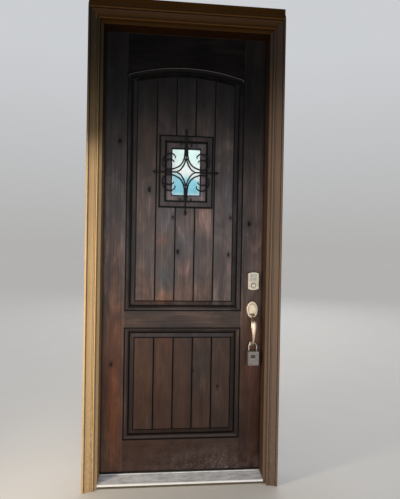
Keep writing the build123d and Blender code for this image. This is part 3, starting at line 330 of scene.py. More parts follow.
        # painted highlight: a thin light line along the arch's sticking, stronger to the right
        glint = t.m("MULTIPLY", t.map(t.z, 2.226, 2.240), band(t, D, 0.0062, 0.0011, 0.0014))
        col = t.mix(t.m("MULTIPLY", glint, t.map(t.x, -0.33, 0.10, 0.45, 0.80)), col, srgb(104, 99, 97))
        # dark lines in the quirks: stain and dirt deepened by painted shade, with soft painted shade beside them
        dark = band(t, D, 0.0016, 0.0024, 0.0018)
        dark = t.m("MAXIMUM", dark, band(t, D, 0.0280, 0.0032, 0.0020))
        dark = t.m("MAXIMUM", dark, band(t, D, 0.0546, 0.0016, 0.0018))
        soft = t.m("MAXIMUM", band(t, D, 0.0280, 0.002, 0.008), band(t, D, 0.0546, 0.001, 0.008))
        soft = t.m("MAXIMUM", soft, band(t, D, 0.0015, 0.001, 0.008))
        col = t.mix(t.m("MULTIPLY", soft, 0.40), col, srgb(14, 9, 8))
    # the V joints: dark lines of stain and painted shade, with painted shade on the boards beside them
    for gx in grooves:
        off = t.m("ABSOLUTE", t.m("SUBTRACT", t.x, gx))
        inner = t.map(D, 0.0548, 0.0560) if lines else 1.0
        k = t.m("MULTIPLY", t.map(off, 0.0026, 0.0042, 1.0, 0.0), inner)
        dark = k if dark is None else t.m("MAXIMUM", dark, k)
        k = t.m("MULTIPLY", t.map(off, 0.003, 0.013, 0.34, 0.0), inner)
        col = t.mix(k, col, srgb(14, 9, 8))
    if edges:
        # painted shadow along the stiles' outer edges, beside the jamb stops
        rim = t.map(t.m("ABSOLUTE", t.x), 0.436, 0.4472)
        col = t.mix(t.m("MULTIPLY", rim, 0.72), col, srgb(12, 8, 7))
    if speak:
        # painted shadow lines round the speakeasy casing, at its outer edge, its inner gap and its sight line, with
        # painted shade beside them
        hx = t.m("ABSOLUTE", t.m("SUBTRACT", t.x, 0.003))
        hz = t.m("ABSOLUTE", t.m("SUBTRACT", t.z, 1.7165))
        for ex, ez, c, half in ((0.147, 0.198, 0.0004, 0.0040), (0.116, 0.166, -0.0012, 0.0044),
                                (0.078, 0.129, 0.0004, 0.0036)):
            q = t.m("MAXIMUM", t.m("SUBTRACT", hx, ex), t.m("SUBTRACT", hz, ez))
            k = band(t, q, c, half, 0.0016)
            dark = k if dark is None else t.m("MAXIMUM", dark, k)
            col = t.mix(band(t, q, c, 0.001, 0.011), col, t.mix(1.0, col, (0.55, 0.55, 0.56), "MULTIPLY"))
    if dark is not None:
        col = t.mix(t.m("MULTIPLY", dark, 0.985), col, srgb(3, 2, 2))

    rough = t.m("ADD", gloss - 0.06, t.m("MULTIPLY", streak, 0.10))
    rough = t.m("ADD", rough, t.m("MULTIPLY", cloud2, 0.20))
    if dust:
        # splashed dust and dried drops near the sill, thicker towards the lock side
        low = t.map(t.z, 0.045, 0.260, 1.0, 0.0)
        side = t.map(t.x, -0.42, 0.20, 0.22, 1.0)
        spread = t.m("MULTIPLY", t.m("MULTIPLY", low, side), dust)
        drops = t.voronoi(t.vmul(t.coord, (175, 175, 150)), 1.0)
        size = t.m("MULTIPLY", t.noise(t.coord, 33.0, 2.0), spread)
        drop = t.map(drops, t.m("MULTIPLY", size, 0.10), t.m("ADD", t.m("MULTIPLY", size, 0.55), 0.001), 1.0, 0.0)
        drop = t.m("MULTIPLY", drop, t.map(size, 0.12, 0.34))
        film = t.m("MULTIPLY", t.m("MULTIPLY", spread, t.map(t.noise(t.coord, 19.0, 5.0, 0.65), 0.36, 0.68)), 0.50)
        col = t.mix(film, col, srgb(104, 88, 84))
        col = t.mix(t.m("MULTIPLY", drop, 0.85), col, srgb(196, 180, 176))
        rough = t.m("ADD", rough, t.m("MULTIPLY", film, 0.5))
    if dark is not None:
        rough = t.m("ADD", rough, t.m("MULTIPLY", dark, 0.60))
    if lines:
        rough = t.m("ADD", rough, t.m("MULTIPLY", under, 0.45))
        rough = t.m("ADD", rough, t.m("MULTIPLY", flank, 0.22))
    if core is not None:
        rough = t.m("ADD", rough, t.m("MULTIPLY", core, 0.60))
    # hand scraping leaves the face wavy, and each board lies a little out of true
    scrape = t.noise(t.vmul(p, (15, 15, 3.0)), 1.0, 2.0, 0.5)
    if boards:
        off = t.m("SUBTRACT", t.m("FRACT", t.m("ADD", t.m("DIVIDE", t.x, PITCH), 0.5)), 0.5)
        scrape = t.m("ADD", scrape, t.m("MULTIPLY", t.m("MULTIPLY", off, t.m("SUBTRACT", tone2, 0.5)), 4.0))
        lift = t.m("MULTIPLY", t.m("SUBTRACT", t.z, 1.3), t.m("SUBTRACT", tone, 0.5))
        scrape = t.m("ADD", scrape, t.m("MULTIPLY", lift, 26.0))
    nb = t.bump(scrape, 0.75, 0.0022)
    hb = t.m("ADD", t.m("MULTIPLY", fibre, 0.7), t.m("MULTIPLY", rings, 0.20))
    hb = t.m("SUBTRACT", hb, t.m("MULTIPLY", pores, 0.8))
    if core is not None:
        hb = t.m("SUBTRACT", hb, t.m("MULTIPLY", core, 1.6))
    nb = t.bump(hb, 0.30, 0.0005, nb)
    t.set(Base_Color=col, Roughness=rough, Normal=nb)
    t.bsdf.inputs["Specular IOR Level"].default_value = spec
    t.bsdf.inputs["Coat Weight"].default_value = coat
    t.bsdf.inputs["Coat Roughness"].default_value = 0.28
    return t.mat


# ------------------------------------------------------------------ other finishes
def paint(name, along="Z", seed=0.0, base=(132, 108, 82), reveal=None, top=None, bead_wear_and_highlight=0.48):
    """Old brown-taupe house paint on wood: brush marks, dust and chips, its beads lightened by wear and a painted
    highlight, its quirks darkened by dirt and painted shade, and painted shade towards the head.
    """
    t = Net(name)
    p = t.vec(t.m("ADD", t.x, seed), t.y, t.m("ADD", t.z, seed * 2.3))
    st = (330, 330, 3.5) if along == "Z" else (3.5, 330, 330)
    brush = t.noise(t.vmul(p, st), 1.0, 3.0, 0.6)
    cloud = t.noise(p, 4.0, 4.0, 0.55)
    spots = t.noise(p, 90.0, 3.0, 0.6)
    c = srgb(*base)
    col = t.ramp(t.m("ADD", t.m("MULTIPLY", cloud, 0.6), t.m("MULTIPLY", brush, 0.4)),
                 [(0.32, tuple(0.86 * v for v in c)), (0.52, c), (0.74, tuple(1.12 * v for v in c))])
    # across the moulding: its quirks are darkened, dirt with painted shade, and its beads are lightened, rubbed wear
    # with a painted highlight
    ax = t.m("ABSOLUTE", t.x)
    u = t.m("MAXIMUM", t.m("SUBTRACT", ax, 0.464), t.m("SUBTRACT", t.z, 2.4828))
    face = t.map(t.y, -0.0880, -0.0872, 1.0, 0.0)
    quirk = t.m("MAXIMUM", band(t, u, 0.0092, 0.0010, 0.0012), band(t, u, 0.0470, 0.0009, 0.0012))
    quirk = t.m("MAXIMUM", quirk, band(t, u, 0.0170, 0.0005, 0.0009))
    bead = t.m("MAXIMUM", band(t, u, 0.0050, 0.0008, 0.0026), band(t, u, 0.0535, 0.0010, 0.0030))
    bead = t.m("MULTIPLY", bead, t.map(spots, 0.30, 0.62, 0.55, 1.0))
    col = t.mix(t.m("MULTIPLY", t.m("MULTIPLY", bead, face), bead_wear_and_highlight), col, tuple(min(1.0, (1.75 if bead_wear_and_highlight < 0.5 else 2.4) * v + (0.0 if bead_wear_and_highlight < 0.5 else 0.02)) for v in c))
    col = t.mix(t.m("MULTIPLY", t.m("MULTIPLY", quirk, face), 0.86), col, srgb(36, 25, 17))
    if reveal is not None:
        # the jamb's sides are a darker coat than its front edge, with painted shade on them
        side = t.map(t.y, -0.0858, -0.0848)
        col = t.mix(side, col, t.mix(1.0, col, reveal, "MULTIPLY"))
        # painted shadow: a dark line where the jamb's front edge meets the moulding
        seam = t.m("MULTIPLY", band(t, t.m("MAXIMUM", t.m("SUBTRACT", ax, 0.464), t.m("SUBTRACT", t.z, 2.4828)),
                                    -0.0006, 0.0008, 0.0010), t.m("SUBTRACT", 1.0, side))
        col = t.mix(t.m("MULTIPLY", seam, 0.8), col, srgb(34, 24, 17))
    # painted shade: darker towards the head, and less so on the inside face
    shade = t.map(t.z, 1.75, 2.35, 1.0, 0.26)
    shade = t.m("SUBTRACT", 1.0, t.m("MULTIPLY", t.m("SUBTRACT", 1.0, shade), t.map(t.y, 0.035, 0.045, 1.0, 0.25)))
    col = t.mix(1.0, col, t.grey(shade), "MULTIPLY")
    # darker towards the foot
    col = t.mix(1.0, col, t.grey(t.map(t.z, 0.1, 1.0, 0.89, 1.0)), "MULTIPLY")
    # painted shade: the leg's upper part takes the darker factors in top, where the light on its lower part ends
    if top:
        col = t.mix(t.map(t.m("ADD", t.z, t.m("MULTIPLY", cloud, 0.2)), 1.80, 2.02), col, t.mix(1.0, col, top, "MULTIPLY"))
    dusty = t.m("MULTIPLY", t.map(t.z, 0.0, 0.9, 0.34, 0.05), t.m("MULTIPLY", t.map(spots, 0.44, 0.68), t.map(t.z, 1.5, 1.9, 1.0, 0.0)))
    col = t.mix(dusty, col, tuple(min(1.0, 1.5 * v) for v in c))
    chips = t.map(t.noise(p, 210.0, 1.0, 0.5), 0.750, 0.768)
    col = t.mix(t.m("MULTIPLY", chips, t.map(t.z, 1.5, 1.9, 0.6, 0.06)), col, tuple(min(1.0, 2.0 * v) for v in c))
    scuff = t.map(t.noise(t.vmul(p, (60, 60, 7)), 1.0, 4.0, 0.6), 0.62, 0.72)
    col = t.mix(t.m("MULTIPLY", scuff, 0.30), col, tuple(0.55 * v for v in c))
    nb = t.bump(t.m("ADD", t.m("MULTIPLY", brush, 0.6), t.m("MULTIPLY", spots, 0.25)), 0.35, 0.0006)
    t.set(Base_Color=col, Roughness=t.m("ADD", 0.46, t.m("MULTIPLY", spots, 0.22)), Normal=nb)
    t.bsdf.inputs["Specular IOR Level"].default_value = 0.12
    return t.mat


def nickel(name, base=(198, 185, 166), seed=0.0, rough=0.27, relief=None):
    """Satin nickel, brushed, with handling marks; relief paints a shadow into a seam."""
    t = Net(name)
    p = t.vec(t.m("ADD", t.x, seed), t.y, t.z)
    brush = t.noise(t.vmul(p, (1500, 1500, 60)), 1.0, 2.0, 0.5)
    smear = t.noise(p, 46.0, 4.0, 0.6)
    spots = t.map(t.noise(p, 420.0, 1.0), 0.70, 0.76)
    c = srgb(*base)
    col = t.mix(t.map(smear, 0.3, 0.75), c, tuple(v * 0.76 for v in c))
    col = t.mix(t.m("MULTIPLY", spots, 0.5), col, srgb(120, 106, 90))
    if relief:
        # painted shadow in the seams: round the key cylinder on the keypad, in the step of the rose on the rose
        cz, rx, rz, line = (1.0855, 0.0120, 0.0120, 1.0) if relief == "keypad" else (0.947, 0.0300, 0.0420, 0.76)
        dx = t.m("DIVIDE", t.m("SUBTRACT", t.x, 0.3915), rx)
        dz = t.m("DIVIDE", t.m("SUBTRACT", t.z, cz), rz)
        e = t.m("SQRT", t.m("ADD", t.m("MULTIPLY", dx, dx), t.m("MULTIPLY", dz, dz)))
        front = t.map(t.y, -0.0262, -0.0240) if relief == "keypad" else 1.0
        k = t.m("MULTIPLY", band(t, e, line + (0.10 if relief == "keypad" else 0.0), 0.10 if relief == "keypad" else 0.06, 0.10), front)
        col = t.mix(t.m("MULTIPLY", k, 0.95 if relief == "keypad" else 0.45), col, srgb(58, 48, 38))
    r = t.m("ADD", t.m("ADD", rough, t.m("MULTIPLY", smear, 0.16)), t.m("MULTIPLY", brush, 0.07))
    t.set(Base_Color=col, Metallic=1.0, Roughness=r, Normal=t.bump(brush, 0.10, 0.0002))
    return t.mat


def iron(name, base=(12, 11, 11)):
    """Forged iron, oiled black, hammered, with a breath of rust."""
    t = Net(name)
    ham = t.voronoi(t.coord, 120.0)
    grit = t.noise(t.coord, 700.0, 3.0, 0.6)
    rust = t.map(t.noise(t.coord, 60.0, 4.0, 0.6), 0.60, 0.78)
    col = t.mix(t.m("MULTIPLY", rust, 0.30), srgb(*base), srgb(44, 27, 19))
    nb = t.bump(ham, 0.30, 0.0010)
    nb = t.bump(grit, 0.25, 0.0002, nb)
    t.set(Base_Color=col, Metallic=0.0, Roughness=t.m("ADD", 0.46, t.m("MULTIPLY", grit, 0.25)), Normal=nb)
    t.bsdf.inputs["Specular IOR Level"].default_value = 0.22
    return t.mat


def bronze(name, base=(58, 46, 36)):
    t = Net(name)
    n = t.noise(t.coord, 80.0, 4.0, 0.6)
    col = t.mix(t.map(n, 0.35, 0.75), srgb(*base), srgb(98, 70, 44))
    t.set(Base_Color=col, Metallic=0.9, Roughness=t.m("ADD", 0.30, t.m("MULTIPLY", n, 0.25)),
          Normal=t.bump(t.noise(t.coord, 900.0, 2.0), 0.15, 0.0002))
    return t.mat


def cast(name, base=(150, 140, 133)):
    """Grey lacquered die casting, chipped at its arrises."""
    t = Net(name)
    pebble = t.noise(t.coord, 950.0, 2.0, 0.5)
    n = t.noise(t.coord, 75.0, 4.0, 0.6)
    c = srgb(*base)
    col = t.mix(t.map(n, 0.35, 0.75), c, tuple(v * 0.72 for v in c))
    chips = t.map(t.noise(t.coord, 330.0, 1.0), 0.71, 0.74)
    col = t.mix(t.m("MULTIPLY", chips, 0.6), col, srgb(214, 205, 196))
    t.set(Base_Color=col, Metallic=0.55, Roughness=t.m("ADD", 0.36, t.m("MULTIPLY", n, 0.2)),
          Normal=t.bump(pebble, 0.25, 0.0002))
    return t.mat


def aluminium(name):
    """Mill-finish threshold: brushed along its length, dusty, scuffed, with a bright nose that is worn and carries a
    painted highlight.
    """
    t = Net(name)
    brush = t.noise(t.vmul(t.coord, (4, 900, 900)), 1.0, 2.0, 0.5)
    dirt = t.noise(t.vmul(t.coord, (14, 30, 30)), 1.0, 5.0, 0.62)
    grit = t.noise(t.coord, 260.0, 3.0, 0.65)
    col = t.mix(t.map(dirt, 0.36, 0.66), srgb(236, 238, 241), srgb(202, 202, 203))
    col = t.mix(t.m("MULTIPLY", t.map(grit, 0.55, 0.75), 0.45), col, srgb(128, 118, 108))
    # painted highlight on the nose, as well as its wear
    nose = t.map(t.y, -0.094, -0.089, 1.0, 0.0)
    col = t.mix(nose, col, srgb(250, 248, 245))
    t.set(Base_Color=col, Metallic=0.15, Normal=t.bump(brush, 0.12, 0.0002),
          Roughness=t.m("SUBTRACT", t.m("ADD", 0.40, t.m("MULTIPLY", grit, 0.25)), t.m("MULTIPLY", nose, 0.12)))
    return t.mat


def plastic(name, base, rough=0.5, seed=0.0, fine=600.0):
    t = Net(name)
    n = t.noise(t.coord, 55.0 + seed, 4.0, 0.6)
    g = t.noise(t.coord, fine, 2.0, 0.5)
    c = srgb(*base)
    col = t.mix(t.map(n, 0.35, 0.75), c, tuple(v * 0.7 + 0.01 for v in c))
    t.set(Base_Color=col, Roughness=t.m("ADD", rough, t.m("MULTIPLY", n, 0.18)), Normal=t.bump(g, 0.2, 0.0003))
    return t.mat


def obscure_glass(name):
    """Pebbled glass whose colour is painted light: greenish white above, sky blue below, standing for the pale day
    behind it.
    """
    t = Net(name)
    wob = t.m("MULTIPLY", t.m("SUBTRACT", t.noise(t.coord, 22.0, 3.0), 0.5), 0.05)
    slope = t.m("ADD", t.m("ADD", t.z, t.m("MULTIPLY", t.x, 0.12)), wob)
    fac = t.map(slope, 1.674, 1.712, 0.0, 1.0)
    low = t.mix(t.map(slope, 1.59, 1.70), srgb(124, 208, 230), srgb(160, 226, 240))
    up = t.mix(t.map(slope, 1.72, 1.84), srgb(252, 255, 253), srgb(218, 242, 238))
    col = t.mix(fac, low, up)
    # painted light: paler towards its edges, standing for light the sash throws back into it
    rim = t.m("MAXIMUM", t.m("SUBTRACT", t.m("ABSOLUTE", t.m("SUBTRACT", t.x, 0.003)), 0.071),
              t.m("SUBTRACT", t.m("ABSOLUTE", t.m("SUBTRACT", t.z, 1.7165)), 0.122))
    col = t.mix(t.map(rim, -0.014, 0.0, 0.0, 0.45), col, srgb(240, 250, 248))
    peb = t.voronoi(t.coord, 330.0)
    col = t.mix(t.map(peb, 0.2, 0.8, 0.0, 0.30), col, tuple(v * 0.8 for v in srgb(150, 190, 190)))
    # painted light: the glass glows with its painted colour
    t.set(Base_Color=col, Roughness=0.18, IOR=1.46, Transmission_Weight=0.55,
          Normal=t.bump(peb, 0.5, 0.0010), Emission_Color=col)
    t.bsdf.inputs["Emission Strength"].default_value = 0.12
    return t.mat


GX = tuple(k * PITCH for k in (-1.5, -0.5, 0.5, 1.5))
# patch colours: the orange and red ones are turned stain; the blue, blue-grey and pale grey patches on the upper
# boards are painted sheen and painted reflections
RED = (1.30, 1.02, 0.84)
ORANGE = (1.85, 1.36, 0.98)
SHEEN_BLUE = (0.86, 1.05, 1.38)
UPPER_PATCHES = [(-0.105, 1.00, 0.07, 0.06, ORANGE, 0.75), (0.0, 1.05, 0.075, 0.11, ORANGE, 0.85),
                 (0.005, 1.17, 0.050, 0.075, (1.95, 1.68, 1.60), 0.85), (0.110, 1.06, 0.06, 0.08, RED, 0.6),
                 (-0.105, 1.13, 0.055, 0.085, (0.42, 0.62, 0.85), 0.85), (-0.105, 1.46, 0.055, 0.09, (1.15, 1.42, 2.0), 0.85),
                 (0.0, 1.33, 0.06, 0.08, SHEEN_BLUE, 0.6), (0.245, 1.60, 0.05, 0.16, (1.0, 1.25, 1.8), 0.7),
                 (-0.13, 1.33, 0.04, 0.035, (2.0, 1.4, 1.2), 0.8), (0.11, 1.44, 0.055, 0.11, (1.75, 1.55, 1.55), 0.85),
                 (0.215, 1.22, 0.055, 0.16, (0.78, 0.66, 0.64), 0.7), (-0.215, 1.08, 0.05, 0.12, (1.35, 1.0, 0.85), 0.6), (0.0, 1.40, 0.05, 0.08, (1.45, 1.42, 1.45), 0.8), (0.0, 1.17, 0.05, 0.05, (1.5, 1.35, 1.25), 0.7),
                 (0.11, 1.20, 0.05, 0.08, (1.35, 1.30, 1.25), 0.7)]
LOWER_PATCHES = [(-0.215, 0.52, 0.07, 0.28, (1.25, 1.1, 0.84), 0.6), (-0.105, 0.75, 0.06, 0.05, RED, 0.6),
                 (0.10, 0.64, 0.05, 0.10, (0.7, 0.95, 1.15), 0.7)]
# the hinge stile's orange patches are turned stain with painted warm light on them
STILE_L_PATCHES = [(-0.385, 0.72, 0.060, 0.75, (1.75, 1.22, 0.80), 0.85), (-0.375, 0.40, 0.055, 0.50, (1.6, 1.1, 0.72), 0.55),
                   (-0.40, 1.25, 0.08, 0.22, RED, 0.5)]
STILE_R_PATCHES = [(0.40, 0.40, 0.08, 0.50, (1.2, 0.82, 0.62), 0.75), (0.42, 1.35, 0.06, 0.30, (1.2, 0.98, 0.85), 0.5)]

# each part's light and low_light make lit and shaded copies of one stain: painted light and shade
M = {
    "stile_hinge": wood("wood_hinge_stile", seed=1.0, knots=[k for k in KNOTS if k[0] < -0.3],
                        patches=STILE_L_PATCHES, dust=0.4, lines=True, edges=True, spec=0.25, light=1.08, low_light=0.74),
    "stile_lock": wood("wood_lock_stile", seed=2.0, knots=[k for k in KNOTS if k[0] > 0.3],
                       patches=STILE_R_PATCHES, dust=0.6, lines=True, light=1.02, edges=True, spec=0.18, coat=0.05, even=0.6, low_light=0.44,
                       top_shade_span=(1.54, 2.06)),
    "rail_top": wood("wood_top_rail", along="X", seed=3.0, light=0.62, lines=True, spec=0.13, coat=0.03),
    "rail_lock": wood("wood_lock_rail", along="X", seed=4.0, light=0.66, warm=0.0, lines=True),
    "rail_bottom": wood("wood_bottom_rail", along="X", seed=5.0, light=0.70, dust=1.0, lines=True, spec=0.18, low_light=0.80),
    "panel_upper": wood("wood_upper_boards", boards=True, seed=6.0, grooves=GX, lines=True, speak=True,
                        knots=[k for k in KNOTS if abs(k[0]) < 0.3 and k[1] > 0.9], patches=UPPER_PATCHES,
                        spec=0.27, light=1.10),
    "panel_lower": wood("wood_lower_boards", boards=True, seed=9.0, grooves=GX, light=0.72, lines=True,
                        knots=[k for k in KNOTS if abs(k[0]) < 0.3 and k[1] < 0.9], patches=LOWER_PATCHES,
                        spec=0.18),
}
M["speakeasy_casing_outside"] = wood("wood_speakeasy_casing", seed=12.0, light=0.82, warm=0.15, speak=True)
WSP = wood("wood_speakeasy_sash", seed=14.0, light=2.0, warm=0.0, speak=True, spec=0.30,
           patches=[(0.0, 1.71, 0.30, 0.40, (0.84, 0.92, 1.20), 1.0)])
for n in ("speakeasy_frame", "speakeasy_sash", "speakeasy_glazing_bead"):
    M[n] = WSP
# painted light and shade: the left leg and jamb are a lit copy of one taupe paint, the right leg and jamb a shaded
# copy, and the head's dark brown a shaded copy too
M["brickmould_hinge_side"] = paint("paint_moulding_left", base=(186, 154, 112), top=(0.24, 0.24, 0.23))
M["brickmould_strike_side"] = paint("paint_moulding_right", seed=2.0, base=(112, 91, 75))
M["jamb_hinge_side"] = paint("paint_jamb_left", seed=7.0, base=(186, 154, 112), reveal=(0.62, 0.55, 0.48), top=(0.24, 0.24, 0.23))
M["jamb_strike_side"] = paint("paint_jamb_right", seed=8.0, base=(112, 91, 75), reveal=(0.40, 0.32, 0.26))
M["jamb_head"] = paint("paint_jamb_head", along="X", seed=9.0, base=(110, 68, 10), reveal=(0.40, 0.32, 0.26))
M["brickmould_head"] = M["head_filler_board"] = paint("paint_level", along="X", seed=4.0, base=(114, 70, 8), bead_wear_and_highlight=0.95)
M["sill_substrate"] = plastic("sill_wood", (96, 82, 60), 0.7, fine=120.0)
M["threshold_tread"] = aluminium("threshold_aluminium")
M["threshold_cap"] = plastic("cap_composite", (58, 50, 43), 0.55)
M["weatherstrips"] = plastic("foam_brown", (52, 38, 28), 0.75)
M["door_sweep"] = plastic("sweep_vinyl", (34, 30, 28), 0.5)
HB = bronze("hinge_bronze")
for n in ("hinge_jamb_leaves", "hinge_door_leaves", "hinge_pins", "frame_screws", "leaf_screws",
          "sash_hinge_fixed_leaves", "sash_hinge_moving_leaves"):
    M[n] = HB
NK = nickel("satin_nickel")
for n in ("deadbolt_inside_housing", "knob_rose_inside",
          "inside_knob", "deadbolt_thumbturn", "thumbpiece", "key_plug", "latch_strike_plate",
          "deadbolt_strike_plate", "edge_faceplates"):
    M[n] = NK
M["handle_grip"] = nickel("grip_nickel", (238, 214, 188), 1.0, 0.33)
M["deadbolt_keypad_housing"] = nickel("keypad_nickel", (186, 172, 152), 2.0, 0.33, "keypad")
M["handle_rose"] = nickel("rose_nickel", (214, 194, 168), 4.0, 0.30, "rose")
STEEL = nickel("bright_steel", (196, 194, 190), 3.0, 0.22)
for n in ("deadbolt_bolt", "latch_bolt", "lockbox_shackle"):
    M[n] = STEEL
KEYM = plastic("key_plastic", (206, 202, 194), 0.42)
for k in range(5):
    M[f"keypad_key_{k + 1}"] = KEYM
M["lockbox_body"] = M["lockbox_door"] = cast("lockbox_casting", (138, 127, 120))
WHEEL = plastic("wheel_black", (26, 25, 25), 0.42)
for k in range(4):
    M[f"lockbox_wheel_{k + 1}"] = WHEEL
IRON = iron("forged_iron")
M["speakeasy_grille"] = M["grille_screws"] = M["sash_knob"] = IRON
M["speakeasy_glass"] = obscure_glass("pebbled_glass")

SMOOTH = {"handle_grip", "handle_rose", "inside_knob", "knob_rose_inside", "sash_knob", "hinge_pins",
          "lockbox_shackle", "key_plug"}
for n, o in NODES.items():
    if n not in M:
        print("no material for", n)
        continue
    if not o.material_slots:
        o.data.materials.append(M[n])
    for s in o.material_slots:
        s.material = M[n]


# ------------------------------------------------------------------ geometry helpers
def mesh_object(name, bm, body, mat, slot, *nodes):
    me = bpy.data.meshes.new(name)
    bm.to_mesh(me)
    bm.free()
    o = bpy.data.objects.new(name, me)
    bpy.context.scene.collection.objects.link(o)
    me.materials.append(mat)
    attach(o, body)
    if nodes:
        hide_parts(*nodes)
    return o


def eased(node, body, slot, width=0.0012, segs=2):
    """The CAD shape with its arrises eased, standing for the node."""
    src = NODES[node]
    bm = bmesh.new()
    bm.from_mesh(src.data)
    bmesh.ops.remove_doubles(bm, verts=bm.verts, dist=1e-6)
    bmesh.ops.dissolve_limit(bm, angle_limit=math.radians(0.3), verts=bm.verts, edges=bm.edges)
    sharp = [e for e in bm.edges if len(e.link_faces) == 2 and e.calc_face_angle(0.0) > math.radians(28)]
    bmesh.ops.bevel(bm, geom=sharp, offset=width, offset_type="OFFSET", segments=segs, profile=0.6,
                    affect="EDGES", clamp_overlap=True)
    for f in bm.faces:
        f.smooth = True
    o = mesh_object(node + "_eased", bm, body, M[node], slot, node)
    mod = o.modifiers.new("wn", "WEIGHTED_NORMAL")
    mod.keep_sharp = True
    return o


# ------------------------------------------------------------------ forged grille
GRX, GRZ, GY0, GY1 = 0.001, 1.711, -0.021, -0.013
SCROLL = [(-4, 158), (-6, 138), (-7, 112), (-9, 88), (-17, 60), (-34, 36), (-60, 21), (-86, 14.5), (-108, 17),
          (-124, 31), (-130, 53), (-126, 76), (-112, 94), (-92, 102), (-72, 99), (-60, 86), (-61, 75)]
INNER = [(-3, 76), (-7, 54), (-18, 31), (-32, 12), (-50, 2)]
HOOK = [(-127, 62), (-110, 66), (-88, 70), (-72, 64), (-65, 53)]
CURL = [(-3, 158), (-14, 163), (-26, 160), (-31, 151), (-26, 145)]


def spline(pts, n=6):
    out = []
    P = [pts[0]] + list(pts) + [pts[-1]]
    for i in range(1, len(P) - 2):
        for k in range(n):
            q = k / n
            out.append(tuple(0.5 * (2 * P[i][j] + (P[i + 1][j] - P[i - 1][j]) * q +
                                    (2 * P[i - 1][j] - 5 * P[i][j] + 4 * P[i + 1][j] - P[i + 2][j]) * q * q +
                                    (3 * P[i][j] - P[i - 1][j] - 3 * P[i + 1][j] + P[i + 2][j]) * q ** 3)
                             for j in (0, 1)))
    return out + [pts[-1]]


def forged(bm, line, w0, w1, taper=0.0, y0=GY0, y1=GY1, sides=12, closed_tip=True):
    """A hand-forged bar: rounded section, width w0 to w1, a little uneven, drawn out at its far end."""
    n = len(line)
    cy, hy = (y0 + y1) / 2, (y1 - y0) / 2
    rows = []
    for i, (x, z) in enumerate(line):
        ax, az = line[max(i - 1, 0)]
        bx, bz = line[min(i + 1, n - 1)]
        m = math.hypot(bx - ax, bz - az) or 1.0
        nx, nz = -(bz - az) / m, (bx - ax) / m
        q = i / (n - 1)
        thin = 1.0 - taper * max(0.0, (q - 0.86) / 0.14) ** 1.5
        w = (w0 + (w1 - w0) * q) / 2000.0 * thin * (1.0 + 0.05 * math.sin(i * 2.1 + w0 * 3.0 + x * 0.07))
        row = []
        for k in range(sides):
            a = 2 * math.pi * (k + 0.5) / sides
            c, sn = math.cos(a), math.sin(a)
            e = (abs(c) ** 4 + abs(sn) ** 4) ** 0.25
            row.append(bm.verts.new((GRX + x / 1000.0 + nx * w * c / e, cy + hy * (0.55 + 0.45 * thin) * sn / e,
                                     GRZ + z / 1000.0 + nz * w * c / e)))
        rows.append(row)
    for a, b in zip(rows, rows[1:]):
        for k in range(sides):
            bm.faces.new((a[k], a[(k + 1) % sides], b[(k + 1) % sides], b[k]))
    bm.faces.new(list(reversed(rows[0])))
    bm.faces.new(rows[-1])


def ringbox(bm, cx, cz, hx, hz, y0, y1):
    """A wrapped band: a rounded block with two grooves round it."""
    prof = [(-1.0, 0.86), (-0.82, 1.0), (-0.40, 1.0), (-0.30, 0.86), (-0.18, 1.0), (0.18, 1.0), (0.30, 0.86),
            (0.40, 1.0), (0.82, 1.0), (1.0, 0.86)]
    cyy, hy = (y0 + y1) / 2, (y1 - y0) / 2
    rows = []
    for q, k in prof:
        row = []
        for j in range(16):
            a = 2 * math.pi * (j + 0.5) / 16
            c, sn = math.cos(a), math.sin(a)
            e = (abs(c) ** 5 + abs(sn) ** 5) ** 0.2
            row.append(bm.verts.new((cx + hx * k * c / e, cyy + hy * k * sn / e, cz + hz * q)))
        rows.append(row)
    for a, b in zip(rows, rows[1:]):
        for j in range(16):
            bm.faces.new((a[j], a[(j + 1) % 16], b[(j + 1) % 16], b[j]))
    bm.faces.new(list(reversed(rows[0])))
    bm.faces.new(rows[-1])


